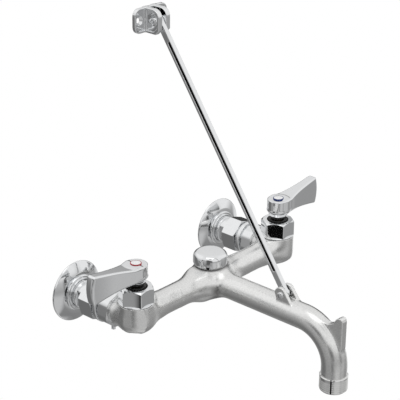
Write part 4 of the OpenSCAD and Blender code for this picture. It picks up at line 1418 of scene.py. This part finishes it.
@dataclass
class Brace:
    """The brace: a fluted bar between two pins, and its bracket on the wall."""

    bar_w: float = 7.0
    bar_t: float = 4.8
    bar_edge: float = 0.9
    eye_r: float = 4.1
    eye_fillet: float = 1.0
    flute_w: float = 2.7
    flute_z: float = 0.9
    flute_depth: float = 1.5
    flute_margin: float = 23.5
    flute_edge: float = 0.5
    ear_out: float = 7.3
    pin_r: float = 1.95
    lower_head_r: float = 3.3
    upper_head_r: float = 4.0
    head_t: float = 1.8
    head_side: float = 0.45
    head_steps: tuple[float, ...] = (0.97, 0.88, 0.72, 0.55)
    dimple_r: float = 1.5
    dimple_depth: float = 0.7
    rivet_r: float = 3.0
    rivet_t: float = 1.2
    # The peened head, as shares of its radius and thickness
    rivet: Outline = ((0.0, 0.0), (1.0, 0.0), (1.0, 0.3), (0.8, 0.8), (0.5, 1.0), (0.0, 1.0))
    plate_w: float = 43.0
    plate_h: float = 24.0
    plate_t: float = 4.0
    plate_corner: float = 7.0
    cheek_near: float = 2.6
    cheek_far: float = 8.0
    cheek_reach: float = 21.0
    cheek_round: float = 8.0
    cheek_bevel: float = 4.2
    cheek_fillet: float = 0.8
    edge: float = 0.7
    hole_edge: float = 0.3
    recess: float = 1.2
    rim: float = 2.4
    screw_spacing: float = 29.5
    screw_r: float = 2.4
    sink_r: float = 4.6
    sink_over: float = 0.6
    cell: float = 0.5

    @property
    def lower(self) -> Vector:
        """The pin between the spout's ears."""
        return joint_place("brace_swing")

    @property
    def upper(self) -> Vector:
        """The pin in the wall bracket."""
        return joint_place("bracket_swing")

    def rod_field(self, p: Points) -> np.ndarray:
        """Distance to the bar in its own frame, where y runs from the lower pin to the upper one.

        Args:
            p: Points.

        Returns:
            The distances.
        """
        length = (self.upper - self.lower).length
        edge, half_t, half_w = self.bar_edge, self.bar_t / 2, self.bar_w / 2
        across, past, high = np.abs(p[:, 0]), np.abs(p[:, 1] - length / 2) - length / 2, p[:, 2]
        shaft = both(across - half_t + edge, np.abs(high) - half_w + edge, past + edge) - edge
        ends = np.column_stack([p[:, 0], past, high])
        eye = bar(ends, (-half_t, 0, 0), (half_t, 0, 0), self.eye_r, edge=edge)
        off = np.hypot(np.maximum(past + self.flute_margin, 0), high - self.flute_z)
        flute = both(off - self.flute_w / 2, half_t - self.flute_depth - across)
        return carve(melt(shaft, eye, self.eye_fillet), flute, self.flute_edge)

    def rod(self) -> None:
        """Makes the bar, with painted dark reflection and shade in the bottom of its flute."""
        span = self.upper - self.lower
        length, half_t, side, reach = span.length, self.bar_t / 2, 4.0, self.eye_r + 2
        form = grown(self.rod_field, ((-side, -reach, -reach), (side, length + reach, reach)), self.cell)
        # Painted dark reflection and shade: the flute's bottom faces get the near-black plate
        middles, half_w = form.middles, self.flute_w / 2 + 0.1
        shade_faces = np.abs(middles[:, 0]) < half_t - self.flute_edge
        shade_faces &= np.abs(middles[:, 2] - self.flute_z) < half_w
        shade_faces &= np.abs(middles[:, 1] - length / 2) < length / 2 - self.flute_margin + half_w
        form.tags = shade_faces.astype(int).tolist()
        place = Matrix.Translation(self.lower) @ Matrix.Rotation(math.atan2(span.z, span.y), 4, "X")
        rod = make_mesh("brace_bar", form.moved(place), [POLISHED_CHROME, SHADE_PAINTED_PLATE])
        seat(rod, "brace", "polished_chrome", "brace_rod")

    def plate_outline(self, inset: float) -> list[tuple[float, float]]:
        """Draws the plate's outline.

        Args:
            inset: How far the outline is drawn in.

        Returns:
            The corners in x and z.
        """
        w, h, c = self.plate_w / 2 - inset, self.plate_h / 2 - inset, self.plate_corner - inset
        corners = [(w - c, h - c, 0), (c - w, h - c, 90), (c - w, c - h, 180), (w - c, c - h, 270)]
        return [point for x, z, start in corners for point in arc((x, z), c, start, start + 90, 5)]

    def cheek_outline(self, inset: float) -> list[tuple[float, float]]:
        """Draws a cheek's outline.

        Args:
            inset: How far the outline is drawn in.

        Returns:
            The corners in y and z.
        """
        z, bevel = self.upper.z, self.cheek_bevel
        front, top, low = inset - self.cheek_reach, z + self.plate_h / 2 - inset, z - self.plate_h / 2 + inset
        c = self.cheek_round - inset / 2
        nose = arc((front + c, top - c), c, 90, 180, 8)
        return [(-inset, low), (-inset, top)] + nose + [(front, low + bevel), (front + bevel, low)]

    def bracket_field(self, p: Points) -> np.ndarray:
        """Distance to the wall bracket: a rimmed plate with two rimmed cheeks.

        Args:
            p: Points.

        Returns:
            The distances.
        """
        z, q, edge, t = self.upper.z, mirrored(p), self.edge, self.plate_t
        flat = flat_distance(p[:, 0], p[:, 2] - z, self.plate_outline(edge))
        plate = both(flat, np.abs(p[:, 1] + t / 2) - t / 2 + edge) - edge
        dish = both(flat_distance(p[:, 0], p[:, 2] - z, self.plate_outline(self.rim)),
                    p[:, 1] + t - self.recess)
        cheek = slab(q, self.cheek_outline(0), self.cheek_near, self.cheek_far, edge)
        panel = slab(q, self.cheek_outline(self.rim), self.cheek_far - self.recess, self.cheek_far + 3)
        panel = both(panel, p[:, 1] + t + self.rim / 2)
        solid = melt(carve(plate, dish, edge), carve(cheek, panel, edge), self.cheek_fillet)
        slot = both(np.abs(p[:, 0]) - self.cheek_near, p[:, 1] + t)
        x, front, depth = self.screw_spacing / 2, self.recess - t, self.sink_r - self.screw_r
        hole = bar(q, (x, -t - 1, z), (x, 1, z), self.screw_r)
        sink = bar(q, (x, front - self.sink_over, z), (x, front + depth, z), self.sink_r + self.sink_over,
                   self.screw_r)
        return carve(carve(solid, np.minimum(hole, sink), self.hole_edge), slot, self.hole_edge)

    def pin_heads(self, out: float, place: Vector, head_r: float, dimple: float = 0.0) -> Form:
        """Draws a rivet across x: a domed head at -x and a smaller peened one at +x.

        Args:
            out: Distance from the middle to the faces that the heads lie on.
            place: The pin's middle.
            head_r: Radius of the domed head.
            dimple: Radius of the dimple in that head.

        Returns:
            The form.
        """
        h, t, side = head_r, self.head_t, self.head_side
        shaft = [(0.0, -out), (self.pin_r, -out), (self.pin_r, out), (0.0, out)]
        head = [(0.0, 0.0), (h, 0.0), (h, t * side)]
        head += [(h * s, t * (side + (1 - side) * math.sqrt(1 - s * s))) for s in self.head_steps]
        floor = t - self.dimple_depth
        head += [(dimple + 0.3, t), (dimple, floor), (0.0, floor)] if dimple else [(0.3 * h, t), (0.0, t)]
        tail = [(u * self.rivet_r, v * self.rivet_t) for u, v in self.rivet]
        left, right = Matrix.Rotation(-math.pi / 2, 4, "Y"), Matrix.Rotation(math.pi / 2, 4, "Y")
        parts = [turned(profile, closed=False, steps=steps).moved(Matrix.Translation((x, 0, 0)) @ way)
                 for profile, steps, x, way in (
                     (shaft, 32, 0, right), (head, 48, -out, left), (tail, 32, out, right))]
        return Form.joined(parts).moved(Matrix.Translation(place))

    def build(self) -> None:
        """Makes the bar, the two pins and the bracket."""
        self.rod()
        pin = self.pin_heads(self.ear_out, self.lower, self.lower_head_r)
        seat(make_mesh("lower_pin", pin, [POLISHED_CHROME]), "faucet", "stainless", "brace_pin")
        pin = self.pin_heads(self.cheek_far - self.recess, self.upper, self.upper_head_r, self.dimple_r)
        seat(make_mesh("upper_pin", pin, [POLISHED_CHROME]), "bracket", "stainless", "bracket_pin")
        form = grown(self.bracket_field, room_of("wall_bracket", 2, 2), self.cell)
        bracket = make_mesh("brace_bracket", form, [POLISHED_CHROME])
        seat(bracket, "bracket", "polished_chrome", "wall_bracket")


# The CAD pieces that stay

class Works:
    """The small and inner pieces, which keep their CAD shape and get a finish each."""

    FINISHES: dict[str, Finish] = {
        "union_washer": FIBRE,
        "stop_plug": POLISHED_CHROME,
        "stop_gland": TURNED_BRASS,
        "seat_seal": NITRILE,
        "fixed_disc": LAPPED_ALUMINA,
        "moving_disc": LAPPED_ALUMINA,
        "stem": TURNED_BRASS,
        "stem_ring": NITRILE,
        "handle_screw": TURNED_STEEL,
        "breaker_seat": TURNED_BRASS,
        "breaker_float": WHITE_ACETAL,
        "breaker_float_seal": NITRILE,
    }

    def build(self) -> None:
        """Dresses every node that nothing stands for."""
        for name, node in frame["nodes"].items():
            finish = self.FINISHES.get(name.removeprefix("hot_").removeprefix("cold_"))
            if finish:
                node.data.materials.clear()
                node.data.materials.append(finish.build())
                LOG.info("%s: kept, %s", name, finish.name)


# The studio

@dataclass(frozen=True)
class Card:
    """A card or panel of the light tent, as a window of directions with soft edges.

    Its angles are in degrees, and a level of 1 is as bright as the backdrop that the camera sees.
    """

    name: str
    azimuth: float
    half_width: float
    low: float
    high: float
    level: float
    soft: float


@dataclass
class Studio:
    """The camera of the photograph, a light tent with its cards and a plain pale floor far below."""

    camera_place: tuple[float, float, float] = (-917.75, -895.67, 620.99)
    azimuth: float = 47.93
    elevation: float = 23.56
    roll: float = 0.51
    lens: float = 127.39
    sensor: float = 36.0
    floor_z: float = -900.0
    floor_half: float = 6000.0
    lamp_place: tuple[float, float, float] = (-300.0, -300.0, 1500.0)
    lamp_target: tuple[float, float, float] = (0.0, -120.0, 20.0)
    lamp_side: float = 900.0
    lamp_power: float = 1.5
    # The tent's level by elevation, from straight down to near the roof
    tent: tuple[tuple[float, float], ...] = (
        (-90.0, 0.50), (-60.0, 0.25), (-35.0, 0.30), (-12.0, 0.40), (5.0, 0.58), (20.0, 0.80), (45.0, 0.88))
    cards: tuple[Card, ...] = (
        Card("backdrop", 20, 26, -34, 14, 0.80, 8),
        Card("left_bank", 112, 38, 26, 64, 1.0, 9),
        Card("front_bank", 240, 62, 10, 62, 0.92, 8),
        Card("right_card", 335, 24, -2, 62, 0.95, 8),
        Card("dim_corner", 114, 26, -60, 2, 0.17, 8),
        Card("upper_flag", 178, 13, 3, 23, 0.01, 3),
        Card("middle_flag", 212, 12, -12, 10, 0.12, 5),
        Card("room_panel", 248, 22, -82, -18, 0.6, 8),
        Card("near_panel", 212, 20, -82, -36, 0.46, 8),
        Card("lower_flag", 203, 6.5, -29, -19, 0.003, 1.2),
        Card("floor_pool", 280, 40, -90, -68, 0.72, 7),
        Card("side_panel", 294, 14, -34, -14, 0.55, 6),
        Card("side_flag", 280, 9, -12, 6, 0.17, 5),
        Card("far_shade", 38, 30, -14, 12, 0.06, 5),
        Card("camera_gap", 222, 10, 50, 80, 0.15, 6),
        Card("roof_light", 222, 85, 66, 90, 0.96, 9),
    )

    def camera(self) -> None:
        """Sets the camera at the photograph's place and angle."""
        data = bpy.data.cameras.new("photo_camera")
        data.lens, data.sensor_width = self.lens, self.sensor
        data.clip_end = 100.0
        camera = placed("photo_camera", data)
        tilt = Matrix.Rotation(math.radians(90 - self.elevation), 4, "X")
        camera.matrix_world = (Matrix.Translation(Vector(self.camera_place) * MM)
                               @ Matrix.Rotation(math.radians(-self.azimuth), 4, "Z") @ tilt
                               @ Matrix.Rotation(math.radians(self.roll), 4, "Z"))
        bpy.context.scene.camera = camera

    def window(self, tree: bpy.types.NodeTree, flat: bpy.types.NodeSocket, height: bpy.types.NodeSocket,
               card: Card) -> bpy.types.NodeSocket:
        """Adds one card's window of directions.

        Args:
            tree: The world's tree.
            flat: The direction's level part, of length 1.
            height: The direction's upward part.
            card: The card.

        Returns:
            The share, 1 inside the window.
        """
        def sine(angle: float) -> float:
            """The height of a direction at an elevation, and a little past it at the poles."""
            return math.sin(math.radians(angle)) if abs(angle) < 90 else math.copysign(2, angle)

        turn, soft = math.radians(card.azimuth), card.soft
        dot = add_node(tree, "ShaderNodeVectorMath", {1: (math.cos(turn), math.sin(turn), 0.0)}, {0: flat},
                       operation="DOT_PRODUCT").outputs["Value"]
        wide, narrow = (math.cos(math.radians(card.half_width + s)) for s in (soft, -soft))
        share = None
        for value, start, end in ((height, sine(card.low - soft), sine(card.low + soft)),
                                  (height, sine(card.high + soft), sine(card.high - soft)),
                                  (dot, wide, narrow)):
            step = add_node(tree, "ShaderNodeMapRange", {"From Min": start, "From Max": end},
                            {"Value": value}, interpolation_type="SMOOTHSTEP").outputs["Result"]
            share = step if share is None else add_node(
                tree, "ShaderNodeMath", links={0: share, 1: step}, operation="MULTIPLY").outputs[0]
        return share

    def surround(self) -> None:
        """Builds the light tent: white behind the faucet, and in reflections its panels and cards."""
        world = bpy.data.worlds.new("light_tent")
        bpy.context.scene.world = world
        tree = blank_tree(world)
        way = add_node(tree, "ShaderNodeTexCoord").outputs["Generated"]
        height = add_node(tree, "ShaderNodeSeparateXYZ", links={"Vector": way}).outputs["Z"]
        level_way = add_node(tree, "ShaderNodeVectorMath", {1: (1.0, 1.0, 0.0)}, {0: way},
                             operation="MULTIPLY").outputs[0]
        flat = add_node(tree, "ShaderNodeVectorMath", links={0: level_way}, operation="NORMALIZE").outputs[0]
        tone = add_node(tree, "ShaderNodeValue").outputs[0]
        tone.default_value = self.tent[0][1]
        layers = []
        for (start, _), (end, level) in zip(self.tent, self.tent[1:]):
            rise = add_node(tree, "ShaderNodeMapRange", {
                "From Min": math.sin(math.radians(start)), "From Max": math.sin(math.radians(end))},
                {"Value": height})
            layers.append(("tent", level, rise.outputs["Result"]))
        layers += [(card.name, card.level, self.window(tree, flat, height, card)) for card in self.cards]
        layers.append(("seen", 1.0, add_node(tree, "ShaderNodeLightPath").outputs["Is Camera Ray"]))
        for name, level, share in layers:
            tone = add_node(tree, "ShaderNodeMix", {3: level}, {0: share, 2: tone}, label=name).outputs[0]
        back = add_node(tree, "ShaderNodeBackground", {"Strength": 1.0}, {"Color": tone})
        add_node(tree, "ShaderNodeOutputWorld", links={"Surface": back.outputs["Background"]})

    def floor(self) -> None:
        """Lays the floor: white to the eye, while reflections look through it to the tent's lower half."""
        h, z = self.floor_half, self.floor_z
        form = Form(np.array([(-h, -h, z), (h, -h, z), (h, h, z), (-h, h, z)]), [(0, 1, 2, 3)])
        material = bpy.data.materials.new("pale_floor")
        tree = blank_tree(material)
        seen = add_node(tree, "ShaderNodeLightPath").outputs["Is Camera Ray"]
        open_way = add_node(tree, "ShaderNodeBsdfTransparent")
        white = add_node(tree, "ShaderNodeEmission", {"Color": colour("#FFFFFF")})
        mix = add_node(tree, "ShaderNodeMixShader",
                       links={0: seen, 1: open_way.outputs[0], 2: white.outputs[0]})
        add_node(tree, "ShaderNodeOutputMaterial", links={"Surface": mix.outputs[0]})
        plane = make_mesh("studio_floor", form, [])
        plane.data.materials.append(material)

    def lamp(self) -> None:
        """Hangs the soft box over the faucet."""
        data = bpy.data.lights.new("key_box", "AREA")
        data.size, data.energy = self.lamp_side * MM, self.lamp_power
        lamp = placed("key_box", data)
        way = Vector(self.lamp_target) - Vector(self.lamp_place)
        lamp.matrix_world = (Matrix.Translation(Vector(self.lamp_place) * MM)
                             @ way.to_track_quat("-Z", "Y").to_matrix().to_4x4())

    def build(self) -> None:
        """Sets up the camera, the tent, the floor and the lamp."""
        self.camera()
        self.surround()
        self.floor()
        self.lamp()
        bpy.context.scene.view_settings.view_transform = "Standard"


def main() -> None:
    """Builds the faucet and its studio."""
    logging.basicConfig(level=logging.INFO, format="%(message)s")
    Studio().build()
    casting = Casting()
    casting.build()
    Outlet().build(casting)
    for side in Side:
        Inlet(side).build()
        Valve(side).build()
    VacuumBreaker().build(casting)
    Brace().build()
    Works().build()


if __name__ == "__main__":
    main()
